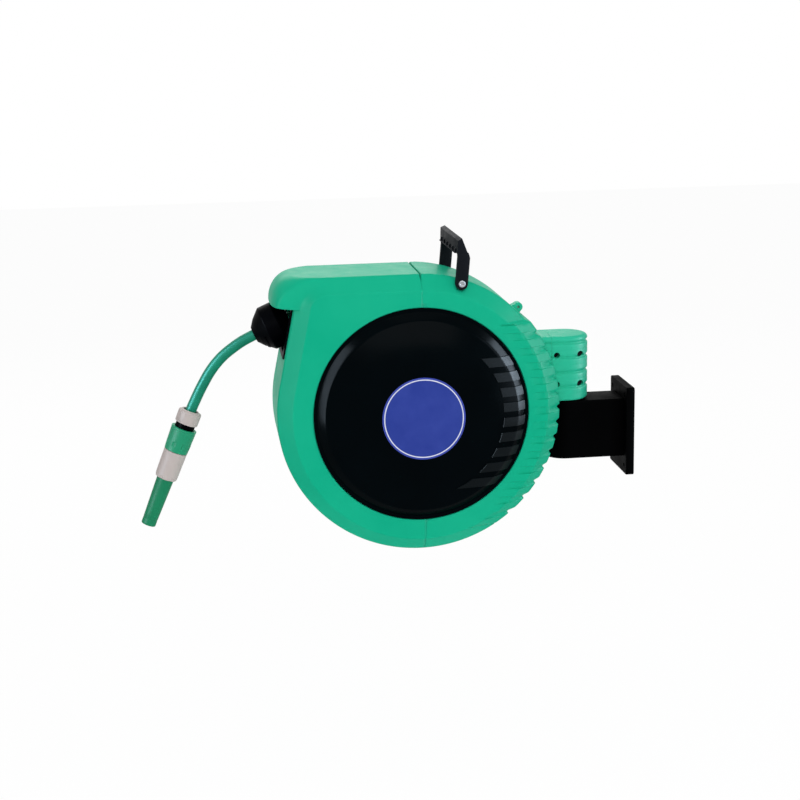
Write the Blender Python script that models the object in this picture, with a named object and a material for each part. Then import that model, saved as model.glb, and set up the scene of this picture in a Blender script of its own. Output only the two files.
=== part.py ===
# Retractable garden hose reel on a swivelling wall bracket.
# Metres, +Z up. The origin is the centre of the wall plate's back face and +X points into the wall.
# The hose leaves towards -X. The label side faces -Y and the water inlet is on the +Y side.
import bpy
import bmesh
import math
from mathutils import Matrix, Vector

# Clearances
GAP = 0.0003              # between pieces that touch
RUN = 0.0003              # between pieces that turn in each other

# Wall bracket
PLATE_WIDTH = 0.087
PLATE_HEIGHT = 0.121
PLATE_THICK = 0.011
PLATE_CORNER = 0.004
PLATE_HOLE_RADIUS = 0.0032
PLATE_HOLE_INSET = 0.0115
ARM_WIDTH = 0.052
ARM_TOP = 0.0425
ARM_BOTTOM = -0.0375
ARM_WALL = 0.004
PIVOT_DISTANCE = 0.088    # swivel axis from the wall
POST_RADIUS = 0.010
POST_SOCKET_DEPTH = 0.030
SWIVEL_LIMIT = math.radians(70)

# Housing
HOUSING_RADIUS = 0.1875
HOUSING_TOP = HOUSING_RADIUS - 0.0045             # above the drum axis
FACE_HALF = 0.075         # drum axis direction, centre to the flat side face
RIM_HALF = FACE_HALF - 0.0185                     # centre to where the chamfer starts
CHAMFER_INSET = 0.0195
SHELL_WALL = 0.003
SEAM_OFFSET = 0.003       # seam plane beyond the drum axis, towards the wall

# Drum axis
AXIS_DISTANCE = PIVOT_DISTANCE + HOUSING_RADIUS + 0.018   # from the wall
AXIS_HEIGHT = 0.045       # above the wall plate's centre

# Rear ribs
RIB_HEIGHT = 0.0040
RIB_PITCH = 0.0200
RIB_WIDTH = 0.0135
RIB_PHASE = -0.0118       # middle of rib 0, above the drum axis
RIB_ROOM = HOUSING_RADIUS - RIB_HEIGHT - CHAMFER_INSET - SHELL_WALL - RIB_WIDTH / 2
RIB_FIRST = -int((RIB_ROOM + RIB_PHASE) / RIB_PITCH)
RIB_LAST = int((RIB_ROOM - RIB_PHASE - 0.030) / RIB_PITCH)

# Nose hood
LIP_HEIGHT = HOUSING_TOP - 0.0375                 # hood's lower edge above the drum axis
HOOD_REACH = HOUSING_RADIUS + 0.0025              # hood's lower edge ahead of the drum axis
HOOD_PROFILE = ((0.0, 0.0), (0.0003, 0.0070), (0.0030, 0.0160), (0.0080, 0.0250), (0.0145, 0.0325))
HOOD_TOP_SETBACK = 0.0225
HOOD_ROUND = 0.0525
HOOD_ROUND_HALF = FACE_HALF + 0.003
HOOD_TOP_ROUND = 0.050
NOSE_TANGENT = math.radians(168)
MOUTH_HALF_WIDTH = 0.034
MOUTH_DEPTH = 0.0487      # mouth's floor below the hose's middle
MOUTH_BACK = HOUSING_RADIUS - 0.0370              # ahead of the drum axis

# Side covers
FACE_MARGIN = 0.0455      # from the rim to the cover's opening
OPENING_RADIUS = HOUSING_RADIUS - FACE_MARGIN
COVER_GAP = 0.0008
REBATE_DEPTH = 0.0035
REBATE_LIP = 0.0085
LIP_THICK = 0.0070
COVER_RISE = 0.020
COVER_WALL = 0.0025
BEVEL_OUTER = OPENING_RADIUS - 0.0055
BEVEL_INNER = BEVEL_OUTER - 0.0165
BEVEL_RISE = 0.0095
LABEL_RADIUS = 0.0543
LABEL_THICK = 0.0006
PAD_HEIGHT = 0.0012
PAD_START = BEVEL_INNER - 0.014
PAD_WIDTH = 0.0125
PAD_REACH = OPENING_RADIUS - 0.050
TIE_POST_RADIUS = 0.0040
TIE_POST_CIRCLE = OPENING_RADIUS - 0.0145
TIE_POST_ANGLES = (32, 152, 272)

# Swivel column on the rear shell
COLUMN_RADIUS = 0.0285
COLUMN_RIB = 0.0033
COLUMN_TOP = 0.132
COLUMN_CAP = 0.0100
BUSH_WALL = 0.0023
BUSH_LENGTH = 0.015
THRUST_THICK = 0.0015
CLAMP_SCREW_OFFSET = 0.0163
CLAMP_SCREW_HEIGHTS = (0.067, 0.107)
CLAMP_SIDE = 0.0235       # clamp piece reaches this far behind the swivel axis
SCREW_RECESS_RADIUS = 0.0044
SCREW_HEAD_RADIUS = 0.0038
SCREW_HEAD_THICK = 0.0025
SCREW_SHANK_RADIUS = 0.0020

# Carry handle
HANDLE_X = 0.0550         # pivot ahead of the drum axis, towards the wall
HANDLE_Z = HOUSING_TOP - 0.0125                   # pivot above the drum axis
HANDLE_HALF = FACE_HALF - 0.0015
LEG_THICK = 0.0090
LEG_HALF_WIDTH = 0.0080
HANDLE_LENGTH = 0.058
HANDLE_BAR_HEIGHT = 0.020
HANDLE_LEAN = math.radians(5.5)
HANDLE_FOLD = math.radians(60)
HANDLE_POCKET_GAP = 0.0010
HANDLE_SCREW_HEAD = 0.0044

# Lug on the rim
LUG_ANGLE = math.radians(41.5)
LUG_HOLE_CIRCLE = HOUSING_RADIUS + 0.002
LUG_RADIUS = 0.0060
LUG_HOLE_RADIUS = 0.0028
LUG_HALF_WIDTH = 0.0070

# Axle and inlet
AXLE_RADIUS = 0.0110
AXLE_BORE = 0.0070
AXLE_PORT_RADIUS = 0.0040
ELBOW_RADIUS = 0.0165
ELBOW_LENGTH = 0.0270
ELBOW_BRANCH_RADIUS = 0.0130
ELBOW_DROP = 0.038
NIPPLE_RADIUS = 0.0085
NIPPLE_LENGTH = 0.024

# Drum, on the drum axis
DRUM_HALF = FACE_HALF - 0.019
FLANGE_THICK = 0.0030
FLANGE_RADIUS = OPENING_RADIUS - 0.0195
CORE_RADIUS = 0.0600
CORE_WALL = 0.0030
HUB_RADIUS = 0.0185
HUB_LENGTH = 0.0140
DRUM_BUSH_WALL = 0.0027
DRUM_SCREW_CIRCLE = 0.0515
SPRING_CASE_RADIUS = 0.0455
SPRING_CASE_WIDTH = DRUM_HALF - 0.025
SPRING_CASE_WALL = 0.0020
SPRING_TURNS = 3
SPRING_THICK = 0.0008
ARBOR_WALL = 0.0022
SWIVEL_BLOCK_RADIUS = 0.0200
SWIVEL_BLOCK_WIDTH = 0.0280
SWIVEL_BLOCK_CENTRE = DRUM_HALF - HUB_LENGTH - SWIVEL_BLOCK_WIDTH / 2 - 0.004
SPIGOT_RADIUS = 0.0065
SEAL_WIRE = 0.0016
SEAL_SPACING = 0.0180

# Hose
HOSE_RADIUS = 0.0073
WINDING_PITCH = 2 * HOSE_RADIUS + 0.0005
WINDING_TURNS = int(2 * (DRUM_HALF - FLANGE_THICK - HOSE_RADIUS) / WINDING_PITCH)
WINDING_LAYERS = int((FLANGE_RADIUS - CORE_RADIUS) / (2 * HOSE_RADIUS))
WINDING_POINTS_PER_TURN = 18

# Ratchet
RATCHET_TEETH = 16
RATCHET_TIP = 0.0420
RATCHET_ROOT = 0.0370
RATCHET_BORE = 0.0300
RATCHET_THICK = 0.0060
RATCHET_START = math.radians(17.2)
PAWL_CIRCLE = 0.0664
PAWL_ANGLE = math.radians(99.7)
PAWL_TIP_CIRCLE = 0.0432
PAWL_TIP_ANGLE = math.radians(128.5)
PAWL_PIN_RADIUS = 0.0030
PAWL_EYE_RADIUS = 0.0060
PAWL_THICK = 0.0038

# Fairlead rollers in the mouth
ROLLER_RADIUS = 0.0080
ROLLER_JOURNAL = 0.0030
ROLLER_CLEAR = 0.0005
FRAME_X = HOUSING_RADIUS - 0.053                  # frame's middle ahead of the drum axis
FRAME_DEPTH = 0.038
FRAME_HALF_WIDTH = 0.040
FRAME_HALF_HEIGHT = 0.0315
FRAME_WALL = 0.003
ROLLER_SPACING = 0.020    # between the lying and the standing rollers

# Hose end, along the hose's own direction
STOP_AHEAD = 0.0235       # stop's middle beyond the end of the bend
LEAD_BEND_START = HOUSING_RADIUS - 0.0425         # start of the bend ahead of the drum axis
LEAD_BEND_RADIUS = 0.050
EXIT_ANGLE = math.radians(24)
STOP_RADIUS = 0.0300
STOP_PROFILE = ((-0.0240, 0.0140), (-0.0100, 0.0300), (0.0075, 0.0300), (0.0200, 0.0185), (0.0262, 0.0105))
STOP_SIDES = 16
CONNECTOR_START = (-0.111395, -0.108319)          # from the stop's middle
CONNECTOR_DIRECTION = (-0.385, -0.923)
NUT_RADIUS = 0.0155
NUT_LENGTH = 0.0186
BODY_GAP = 0.0070
BODY_RADIUS = 0.0130
SLEEVE_TOP_RADIUS = 0.0175
SLEEVE_END_RADIUS = 0.0160
SLEEVE_LENGTH = 0.0330
GRIP_RADIUS = 0.0155
GRIP_LENGTH = 0.0395
TUBE_TOP_RADIUS = 0.0115
TUBE_END_RADIUS = 0.0098
TUBE_LENGTH = 0.0680
TUBE_BORE = 0.0070
TAIL_RADIUS = 0.0072
TAIL_LENGTH = 0.0220

# Values worked out from the sizes above
AX = -AXIS_DISTANCE
AZ = AXIS_HEIGHT
PX = -PIVOT_DISTANCE
SEAM = AX + SEAM_OFFSET
TOP = AZ + HOUSING_TOP
LIP = AZ + LIP_HEIGHT
AXIS = Vector((AX, 0.0, AZ))
WINDING_OUTER = CORE_RADIUS + 2 * HOSE_RADIUS * WINDING_LAYERS
LEAD_CIRCLE = WINDING_OUTER + HOSE_RADIUS + 0.0010
MOUTH_FLOOR = LEAD_CIRCLE - MOUTH_DEPTH           # above the drum axis
EXIT = Vector((-math.cos(EXIT_ANGLE), 0.0, -math.sin(EXIT_ANGLE)))
BEND_END = Vector((AX - LEAD_BEND_START - LEAD_BEND_RADIUS * math.sin(EXIT_ANGLE), 0.0,
                   AZ + LEAD_CIRCLE - LEAD_BEND_RADIUS * (1 - math.cos(EXIT_ANGLE))))
STOP = BEND_END + EXIT * STOP_AHEAD
NUT_AT = STOP + Vector((CONNECTOR_START[0], 0.0, CONNECTOR_START[1]))
DOWN_HOSE = Vector((CONNECTOR_DIRECTION[0], 0.0, CONNECTOR_DIRECTION[1])).normalized()
HANDLE_PIVOT = Vector((AX + HANDLE_X, 0.0, AZ + HANDLE_Z))

ROUND = 30                # sides of the side covers and their seats
DRUM = 24                 # sides of the drum
SMALL = 18                # sides of the small turned pieces
FINE = 16                 # sides of the connector and nozzle pieces
SHANK = 12                # sides of running pins and their holes
HOLE = 8                  # sides of screw holes
SCREW_SIDES = 8
SLIVER = 0.000002         # edges shorter than this are closed up

COLOURS = {
    "green": ((0.010, 0.470, 0.280, 1.0), 0.35, 0.0),
    "black": ((0.012, 0.013, 0.015, 1.0), 0.30, 0.0),
    "grey": ((0.560, 0.500, 0.480, 1.0), 0.45, 0.0),
    "steel": ((0.620, 0.620, 0.630, 1.0), 0.30, 1.0),
    "brass": ((0.700, 0.520, 0.220, 1.0), 0.30, 1.0),
    "rubber": ((0.020, 0.020, 0.020, 1.0), 0.70, 0.0),
    "acetal": ((0.800, 0.790, 0.750, 1.0), 0.40, 0.0),
    "label": ((0.045, 0.065, 0.380, 1.0), 0.35, 0.0),
    "hose": ((0.010, 0.380, 0.230, 1.0), 0.35, 0.0),
}


# Scene and materials
def clear_scene():
    for item in list(bpy.data.objects):
        bpy.data.objects.remove(item)


def plastic(name):
    colour, roughness, metallic = COLOURS[name]
    found = bpy.data.materials.get(name)
    if found:
        return found
    made = bpy.data.materials.new(name)
    made.use_nodes = True
    shader = made.node_tree.nodes["Principled BSDF"]
    shader.inputs["Base Color"].default_value = colour
    shader.inputs["Roughness"].default_value = roughness
    shader.inputs["Metallic"].default_value = metallic
    return made


# Solids from points
def solid(name, points, faces, colour="black"):
    mesh = bpy.data.meshes.new(name)
    mesh.from_pydata([tuple(p) for p in points], [], faces)
    shape = bmesh.new()
    shape.from_mesh(mesh)
    bmesh.ops.recalc_face_normals(shape, faces=shape.faces)
    shape.to_mesh(mesh)
    shape.free()
    mesh.materials.append(plastic(colour))
    item = bpy.data.objects.new(name, mesh)
    bpy.context.scene.collection.objects.link(item)
    return item


def frame_of(direction):
    """Two directions square to a direction, as a turned piece's sides need."""
    along = Vector(direction).normalized()
    side = Vector((0.0, 1.0, 0.0)) if abs(along.y) < 0.9 else Vector((1.0, 0.0, 0.0))
    first = along.cross(side).normalized()
    return along, first, along.cross(first).normalized()


def turned(name, profile, at, direction, colour="black", sides=SMALL):
    """A closed profile of (radius, distance along) turned round a line. Radius 0 is a pole."""
    along, first, second = frame_of(direction)
    at = Vector(at)
    points, rings = [], []
    for radius, distance in profile:
        middle = at + along * distance
        if radius == 0.0:
            rings.append([len(points)] * sides)
            points.append(middle)
            continue
        rings.append(list(range(len(points), len(points) + sides)))
        for step in range(sides):
            turn = 2 * math.pi * step / sides
            points.append(middle + (first * math.cos(turn) + second * math.sin(turn)) * radius)
    faces = []
    for index, ring in enumerate(rings):
        other = rings[(index + 1) % len(rings)]
        if ring[0] == ring[1] and other[0] == other[1]:
            continue
        for step in range(sides):
            ahead = (step + 1) % sides
            corners = [ring[step], ring[ahead], other[ahead], other[step]]
            faces.append(list(dict.fromkeys(corners)))
    return solid(name, points, faces, colour)


def prism(name, outline, low, high, axis="y", colour="black"):
    """An outline pushed along an axis. It is (x, z) for y, (x, y) for z and (y, z) for x."""
    place = {
        "y": lambda p, d: (p[0], d, p[1]),
        "z": lambda p, d: (p[0], p[1], d),
        "x": lambda p, d: (d, p[0], p[1]),
    }[axis]
    count = len(outline)
    points = [place(p, low) for p in outline] + [place(p, high) for p in outline]
    faces = [list(range(count)), list(range(count, 2 * count))]
    for step in range(count):
        ahead = (step + 1) % count
        faces.append([step, ahead, count + ahead, count + step])
    return solid(name, points, faces, colour)


def round_rectangle(half_width, half_height, radius):
    points = []
    for middle_x, middle_y, start in ((1, 1, 0), (-1, 1, 90), (-1, -1, 180), (1, -1, 270)):
        for turn in (0, 45, 90):
            angle = math.radians(start + turn)
            x = middle_x * (half_width - radius) + radius * math.cos(angle)
            points.append((x, middle_y * (half_height - radius) + radius * math.sin(angle)))
    return points


def box(name, low, high, colour="black"):
    outline = [(low[0], low[1]), (high[0], low[1]), (high[0], high[1]), (low[0], high[1])]
    return prism(name, outline, low[2], high[2], "z", colour)


def cylinder(name, radius, start, end, colour="black", sides=SMALL):
    start = Vector(start)
    way = Vector(end) - start
    return turned(name, [(0.0, 0.0), (radius, 0.0), (radius, way.length), (0.0, way.length)],
                  start, way, colour, sides)


def lofted(name, sections, colour="black"):
    """Closed sections with the same number of points, joined in order and capped."""
    count = len(sections[0])
    points = [p for section in sections for p in section]
    faces = [list(range(count)), list(range(len(points) - count, len(points)))]
    for level in range(len(sections) - 1):
        base = level * count
        for step in range(count):
            ahead = (step + 1) % count
            faces.append([base + step, base + ahead, base + count + ahead, base + count + step])
    return solid(name, points, faces, colour)


def hose(name, points, radius, resolution, colour="hose"):
    curve = bpy.data.curves.new(name, "CURVE")
    curve.dimensions = "3D"
    curve.bevel_depth = radius
    curve.bevel_resolution = resolution
    curve.use_fill_caps = True
    spline = curve.splines.new("POLY")
    spline.points.add(len(points) - 1)
    for slot, point in zip(spline.points, points):
        slot.co = (point[0], point[1], point[2], 1.0)
    curve.materials.append(plastic(colour))
    item = bpy.data.objects.new(name, curve)
    bpy.context.scene.collection.objects.link(item)
    return item


# Joining and cutting
def combine(target, other, operation):
    step = target.modifiers.new(operation, "BOOLEAN")
    step.operation = operation
    step.object = other
    graph = bpy.context.evaluated_depsgraph_get()
    made = bpy.data.meshes.new_from_object(target.evaluated_get(graph))
    target.modifiers.remove(step)
    target.data = made
    bpy.data.objects.remove(other)
    tidy(made)
    return target


def tidy(mesh):
    """Takes out the slivers that a Boolean leaves."""
    shape = bmesh.new()
    shape.from_mesh(mesh)
    bmesh.ops.remove_doubles(shape, verts=shape.verts, dist=SLIVER)
    bmesh.ops.dissolve_degenerate(shape, dist=SLIVER, edges=shape.edges)
    shape.to_mesh(mesh)
    shape.free()


def cut(target, other):
    return combine(target, other, "DIFFERENCE")


def add(target, other):
    return combine(target, other, "UNION")


def keep(target, other):
    return combine(target, other, "INTERSECT")


def renamed(item, name, colour):
    item.name = name
    item.data.name = name
    item.data.materials.clear()
    item.data.materials.append(plastic(colour))
    return item


def copied(item, name):
    twin = bpy.data.objects.new(name, item.data.copy())
    bpy.context.scene.collection.objects.link(twin)
    return twin


def origin_at(item, place):
    place = Vector(place)
    item.data.transform(Matrix.Translation(-place))
    item.location = place
    return item


# Housing
def chamfer(y, rim, face):
    """How far the outline is drawn in at a distance y from the middle."""
    if abs(y) <= rim:
        return 0.0
    return CHAMFER_INSET * (abs(y) - rim) / (face - rim)


def nose_section(y, wall, right, rim, face):
    inset = chamfer(y, rim, face) + wall
    radius = HOUSING_RADIUS - inset
    points = []
    steps = 13
    for step in range(steps + 1):
        angle = math.radians(270) + (NOSE_TANGENT - math.radians(270)) * step / steps
        points.append((AX + radius * math.cos(angle), AZ + radius * math.sin(angle)))
    points.insert(0, (right, AZ - radius))
    bottom = LIP + wall
    rise = bottom - points[-1][1]
    points.append((points[-1][0] + rise / math.tan(NOSE_TANGENT - math.pi / 2), bottom))
    share = min(abs(y) / HOOD_ROUND_HALF, 1.0)
    front = HOOD_ROUND * (1 - (1 - share ** 3) ** (1 / 3))
    pull = HOOD_TOP_ROUND * min(abs(y) / rim, 1.0) ** 4
    if abs(y) > rim:
        pull *= (face - abs(y)) / (face - rim)
    tip = AX - HOOD_REACH + front + wall
    top = TOP - inset
    span = HOUSING_TOP - LIP_HEIGHT
    for setback, rise in HOOD_PROFILE + ((HOOD_TOP_SETBACK, span),):
        share = rise / span
        points.append((tip + setback + pull * share ** 2, bottom + (top - bottom) * share))
    points.append((right, top))
    return [(x, y, z) for x, z in points]


def rear_section(y, radius, left, rim, face, wall, ribbed):
    """Side view outline of the wall-side half, from the bottom round the rim to the top."""
    inset = chamfer(y, rim, face) + wall
    reach = radius - inset
    top = TOP - inset

    def on_arc(height, depth=0.0):
        return (AX + math.sqrt((reach - depth) ** 2 - height ** 2), AZ + height)

    low = RIB_PHASE + RIB_PITCH * RIB_FIRST - RIB_WIDTH / 2
    high = RIB_PHASE + RIB_PITCH * RIB_LAST + RIB_WIDTH / 2
    points = [(left, AZ - reach), (AX, AZ - reach)]
    upper = reach - (RIB_HEIGHT if ribbed else 0.0)
    first, last = math.asin(low / reach), math.asin(high / upper)
    for share in (0.0, 0.5):
        turn = -math.pi / 2 + (first + math.pi / 2) * (0.33 + share * 0.67)
        points.append((AX + reach * math.cos(turn), AZ + reach * math.sin(turn)))
    for index in range(RIB_FIRST, RIB_LAST + 1):
        middle = RIB_PHASE + RIB_PITCH * index
        points.append(on_arc(middle - RIB_WIDTH / 2))
        if index < -6:
            points.append(on_arc(middle))
        points.append(on_arc(middle + RIB_WIDTH / 2))
        if ribbed and index < RIB_LAST:
            points.append(on_arc(middle + RIB_WIDTH / 2, RIB_HEIGHT))
            points.append(on_arc(middle + RIB_PITCH - RIB_WIDTH / 2, RIB_HEIGHT))
    for step in range(0 if ribbed else 1, 8):
        turn = last + (math.pi / 2 - last) * step / 7
        points.append((AX + upper * math.cos(turn), min(AZ + upper * math.sin(turn), top)))
    points.append((left, top))
    return [(x, y, z) for x, z in points]


def stations(rim, face, between):
    half = [rim * share for share in between] + [rim, face]
    return [-y for y in reversed(half)] + half


def nose_block(name, wall, right):
    rim = RIM_HALF - wall * math.tan(math.radians(22.5))
    face = FACE_HALF - wall
    return lofted(name, [nose_section(y, wall, right, rim, face) for y in stations(rim, face, (0.30, 0.62, 0.86))])


def rear_block(name, radius, wall, left, ribbed=False):
    rim = RIM_HALF - wall * math.tan(math.radians(22.5))
    face = FACE_HALF - wall
    return lofted(name, [rear_section(y, radius, left, rim, face, wall, ribbed) for y in stations(rim, face, ())])


def bands(name, first, last, width, low, high, half):
    """Level slabs at the ribs' pitch, as one object."""
    points, faces = [], []
    for index in range(first, last + 1):
        middle = AZ + RIB_PHASE + RIB_PITCH * index
        base = len(points)
        for z in (middle - width / 2, middle + width / 2):
            points += [(low, -half, z), (high, -half, z), (high, half, z), (low, half, z)]
        faces += [[base, base + 1, base + 2, base + 3], [base + 4, base + 5, base + 6, base + 7]]
        for step in range(4):
            ahead = (step + 1) % 4
            faces.append([base + step, base + ahead, base + 4 + ahead, base + 4 + step])
    return solid(name, points, faces)


def add_opening(shell):
    """Thick lip and rebate round each side opening, where the cover's flange sits."""
    for side in (-1, 1):
        outer = OPENING_RADIUS + REBATE_DEPTH
        inner = OPENING_RADIUS - REBATE_LIP
        top = FACE_HALF - 0.0003
        floor = FACE_HALF - REBATE_DEPTH
        back = FACE_HALF - LIP_THICK
        start = AXIS + Vector((0, side * (back - 0.004), 0))
        cut(shell, cylinder("hole", (outer + OPENING_RADIUS) / 2, start, AXIS + Vector((0, side * 0.09, 0)),
                            sides=ROUND))
        profile = [(inner, floor), (OPENING_RADIUS, floor), (OPENING_RADIUS, top), (outer, top), (outer, back),
                   (inner, back)]
        add(shell, turned("ring", profile, AXIS, (0, side, 0), "green", ROUND))


def trim_at_seam(item, nose):
    low, high = (-1.0, SEAM - GAP / 2) if nose else (SEAM + GAP / 2, 1.0)
    return keep(item, box("half", (low, -1.0, -1.0), (high, 1.0, 1.0)))


def nose_shell():
    shell = nose_block("nose_shell", 0.0, SEAM + 0.01)
    cut(shell, nose_block("inside", SHELL_WALL, SEAM + 0.02))
    add_opening(shell)
    half = MOUTH_HALF_WIDTH
    cut(shell, box("mouth", (AX - HOOD_REACH - 0.06, -half, AZ + MOUTH_FLOOR), (AX - MOUTH_BACK + 0.0005, half, LIP - 0.001)))
    cut(shell, box("hood floor", (AX - HOOD_REACH + SHELL_WALL + 0.001, -half, LIP - 0.002),
                   (AX - MOUTH_BACK, half, LIP + SHELL_WALL + 0.002)))
    frame_side = FRAME_HALF_WIDTH + GAP
    for side in (-1, 1):
        near, far = sorted((side * frame_side, side * (FACE_HALF - SHELL_WALL / 2)))
        middle = AX - FRAME_X
        add(shell, box("rib", (middle - 0.012, near, LEAD_Z - 0.008), (middle + 0.006, far, LEAD_Z + 0.006)))
    trim_at_seam(shell, True)
    return renamed(shell, "nose_shell", "green")


def arm_outline(half, behind):
    """Plan of the arm: straight sides from the wall plate and a round end about the swivel axis."""
    points = [(behind, -half), (behind, half)]
    steps = 12
    for step in range(steps + 1):
        angle = math.radians(90) + math.radians(180) * step / steps
        points.append((PX + half * math.cos(angle), half * math.sin(angle)))
    return points


def pocket_outline(clear):
    """Plan of the space that the arm's end sweeps as the housing swivels, seen from the housing."""
    half = ARM_WIDTH / 2 + clear
    reach = 0.055
    points = []
    steps = 8
    start = math.pi / 2 + SWIVEL_LIMIT
    end = 3 * math.pi / 2 - SWIVEL_LIMIT
    for step in range(steps + 1):
        angle = start + (end - start) * step / steps
        points.append((PX + half * math.cos(angle), half * math.sin(angle)))
    upper = (points[0][0] + reach * math.cos(SWIVEL_LIMIT), points[0][1] + reach * math.sin(SWIVEL_LIMIT))
    lower = (upper[0], -upper[1])
    return points + [lower, (PX + 0.05, -upper[1]), (PX + 0.05, upper[1]), upper]


def column_outline(half):
    points = [(AX + 0.12, -half), (PX, -half)]
    steps = 10
    for step in range(1, steps):
        angle = math.radians(-90) + math.radians(180) * step / steps
        points.append((PX + half * math.cos(angle), half * math.sin(angle)))
    return points + [(PX, half), (AX + 0.12, half)]


def column_block():
    low = ARM_TOP - 0.002
    column = prism("column", column_outline(COLUMN_RADIUS), low, COLUMN_TOP - 0.002, "z")
    proud = prism("proud", column_outline(COLUMN_RADIUS + COLUMN_RIB), low, COLUMN_TOP, "z")
    keep(proud, bands("slabs", 1, 5, RIB_WIDTH, -0.2, 0.0, 0.05))
    return add(column, proud)


def bore_column(item):
    """Blind bore for the bushes, and the screw recesses and holes across it."""
    bore = POST_RADIUS + RUN + BUSH_WALL + GAP
    low = ARM_TOP - 0.01
    cut(item, cylinder("bore", bore, (PX, 0, low), (PX, 0, COLUMN_TOP - COLUMN_CAP)))
    for x in (PX - CLAMP_SCREW_OFFSET, PX + CLAMP_SCREW_OFFSET):
        for z in CLAMP_SCREW_HEIGHTS:
            cut(item, cylinder("recess", SCREW_RECESS_RADIUS, (x, -0.05, z), (x, -CLAMP_HEAD, z), sides=HOLE))
            cut(item, cylinder("hole", SCREW_SHANK_RADIUS + GAP, (x, -0.05, z), (x, CLAMP_END + GAP, z), sides=HOLE))
    return item


def handle_pocket(name, grow, low, high):
    """Side view of the space that a handle leg sweeps, from upright to folded."""
    half = LEG_HALF_WIDTH + HANDLE_POCKET_GAP + grow
    fold = HANDLE_LEAN - HANDLE_FOLD
    way = (math.sin(fold), math.cos(fold))
    px, pz = HANDLE_PIVOT.x, HANDLE_PIVOT.z
    points = []
    steps = 8
    for step in range(steps + 1):
        angle = -HANDLE_LEAN - (math.pi + fold - HANDLE_LEAN) * step / steps
        points.append((px + half * math.cos(angle), pz + half * math.sin(angle)))
    start = points[-1]
    reach = 0.052 + grow
    points.append((start[0] + way[0] * reach, start[1] + way[1] * reach))
    points.append((points[-1][0], pz + 0.07))
    points.append((px + half + 0.006, pz + 0.07))
    return prism(name, points, low, high, "y")


def handle_seats(shell):
    """Pockets in the chamfers for the handle's feet, each with its own backing wall."""
    floor = HANDLE_HALF - LEG_THICK - GAP
    for side in (-1, 1):
        near, far = sorted((side * (floor - SHELL_WALL - GAP), side * (FACE_HALF - 0.002)))
        backing = handle_pocket("backing", SHELL_WALL, near, far)
        keep(backing, rear_block("limit", HOUSING_RADIUS, 0.0004, SEAM - 0.01))
        x, z = HANDLE_PIVOT.x, HANDLE_PIVOT.z
        add(backing, cylinder("boss", 0.0065, (x, side * (floor - 0.0002), z), (x, side * (floor - 0.014), z), sides=HOLE))
        add(shell, backing)
        near, far = sorted((side * floor, side * 0.09))
        cut(shell, handle_pocket("pocket", 0.0, near, far))
        cut(shell, cylinder("hole", SCREW_SHANK_RADIUS + GAP, (x, side * 0.08, z), (x, side * (floor - 0.012), z),
                            sides=HOLE))


def lug():
    centre = AXIS + Vector((math.cos(LUG_ANGLE), 0, math.sin(LUG_ANGLE))) * LUG_HOLE_CIRCLE
    foot = AXIS + Vector((math.cos(LUG_ANGLE), 0, math.sin(LUG_ANGLE))) * (HOUSING_RADIUS - RIB_HEIGHT - 0.002)
    outline = []
    for step in range(9):
        angle = LUG_ANGLE - math.pi / 2 + math.pi * step / 8
        outline.append((centre.x + LUG_RADIUS * math.cos(angle), centre.z + LUG_RADIUS * math.sin(angle)))
    side = (-math.sin(LUG_ANGLE) * LUG_RADIUS * 1.4, math.cos(LUG_ANGLE) * LUG_RADIUS * 1.4)
    outline += [(foot.x + side[0], foot.z + side[1]), (foot.x - side[0], foot.z - side[1])]
    ear = prism("lug", outline, -LUG_HALF_WIDTH, LUG_HALF_WIDTH, "y")
    way = Vector((0, 0.05, 0))
    return cut(ear, cylinder("eye", LUG_HOLE_RADIUS, centre - way, centre + way, sides=SHANK))


def rear_shell_and_clamp():
    left = SEAM - 0.01
    floor = HOUSING_RADIUS - RIB_HEIGHT
    sweep_top = ARM_TOP + THRUST_THICK + 2 * GAP
    shell = rear_block("rear_shell", HOUSING_RADIUS, 0.0, left, True)
    column = bore_column(column_block())
    clamp = copied(column, "swivel_clamp")
    split = PX - CLAMP_SIDE
    keep(clamp, box("half", (split + GAP, -0.1, sweep_top), (0.1, -GAP / 2, 0.3)))
    cut(clamp, rear_block("clear", HOUSING_RADIUS + GAP, 0.0, left, True))
    cut(column, box("half", (split, -0.1, -0.1), (0.1, GAP / 2, 0.3)))
    backing = prism("backing", pocket_outline(0.0015 + SHELL_WALL), ARM_BOTTOM - 0.006, sweep_top + 0.003, "z")
    keep(backing, rear_block("limit", floor, 0.0003, left))
    cut(shell, rear_block("inside", floor, SHELL_WALL, left - 0.01))
    add_opening(shell)
    add(shell, backing)
    cut(column, rear_block("inside", floor, SHELL_WALL - 0.0005, left - 0.01))
    add(shell, column)
    cut(shell, prism("sweep", pocket_outline(0.0015), ARM_BOTTOM - 0.003, sweep_top, "z"))
    low_screw = (PX - CLAMP_SCREW_OFFSET, CLAMP_SCREW_HEIGHTS[0])
    cut(shell, cylinder("recess", SCREW_RECESS_RADIUS, (low_screw[0], -0.05, low_screw[1]),
                        (low_screw[0], -CLAMP_HEAD, low_screw[1]), sides=HOLE))
    handle_seats(shell)
    add(shell, lug())
    trim_at_seam(shell, False)
    return renamed(shell, "rear_shell", "green"), renamed(clamp, "swivel_clamp", "green")


CLAMP_HEAD = 0.0185
CLAMP_END = 0.0160
LEAD_Z = AZ + LEAD_CIRCLE


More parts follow.
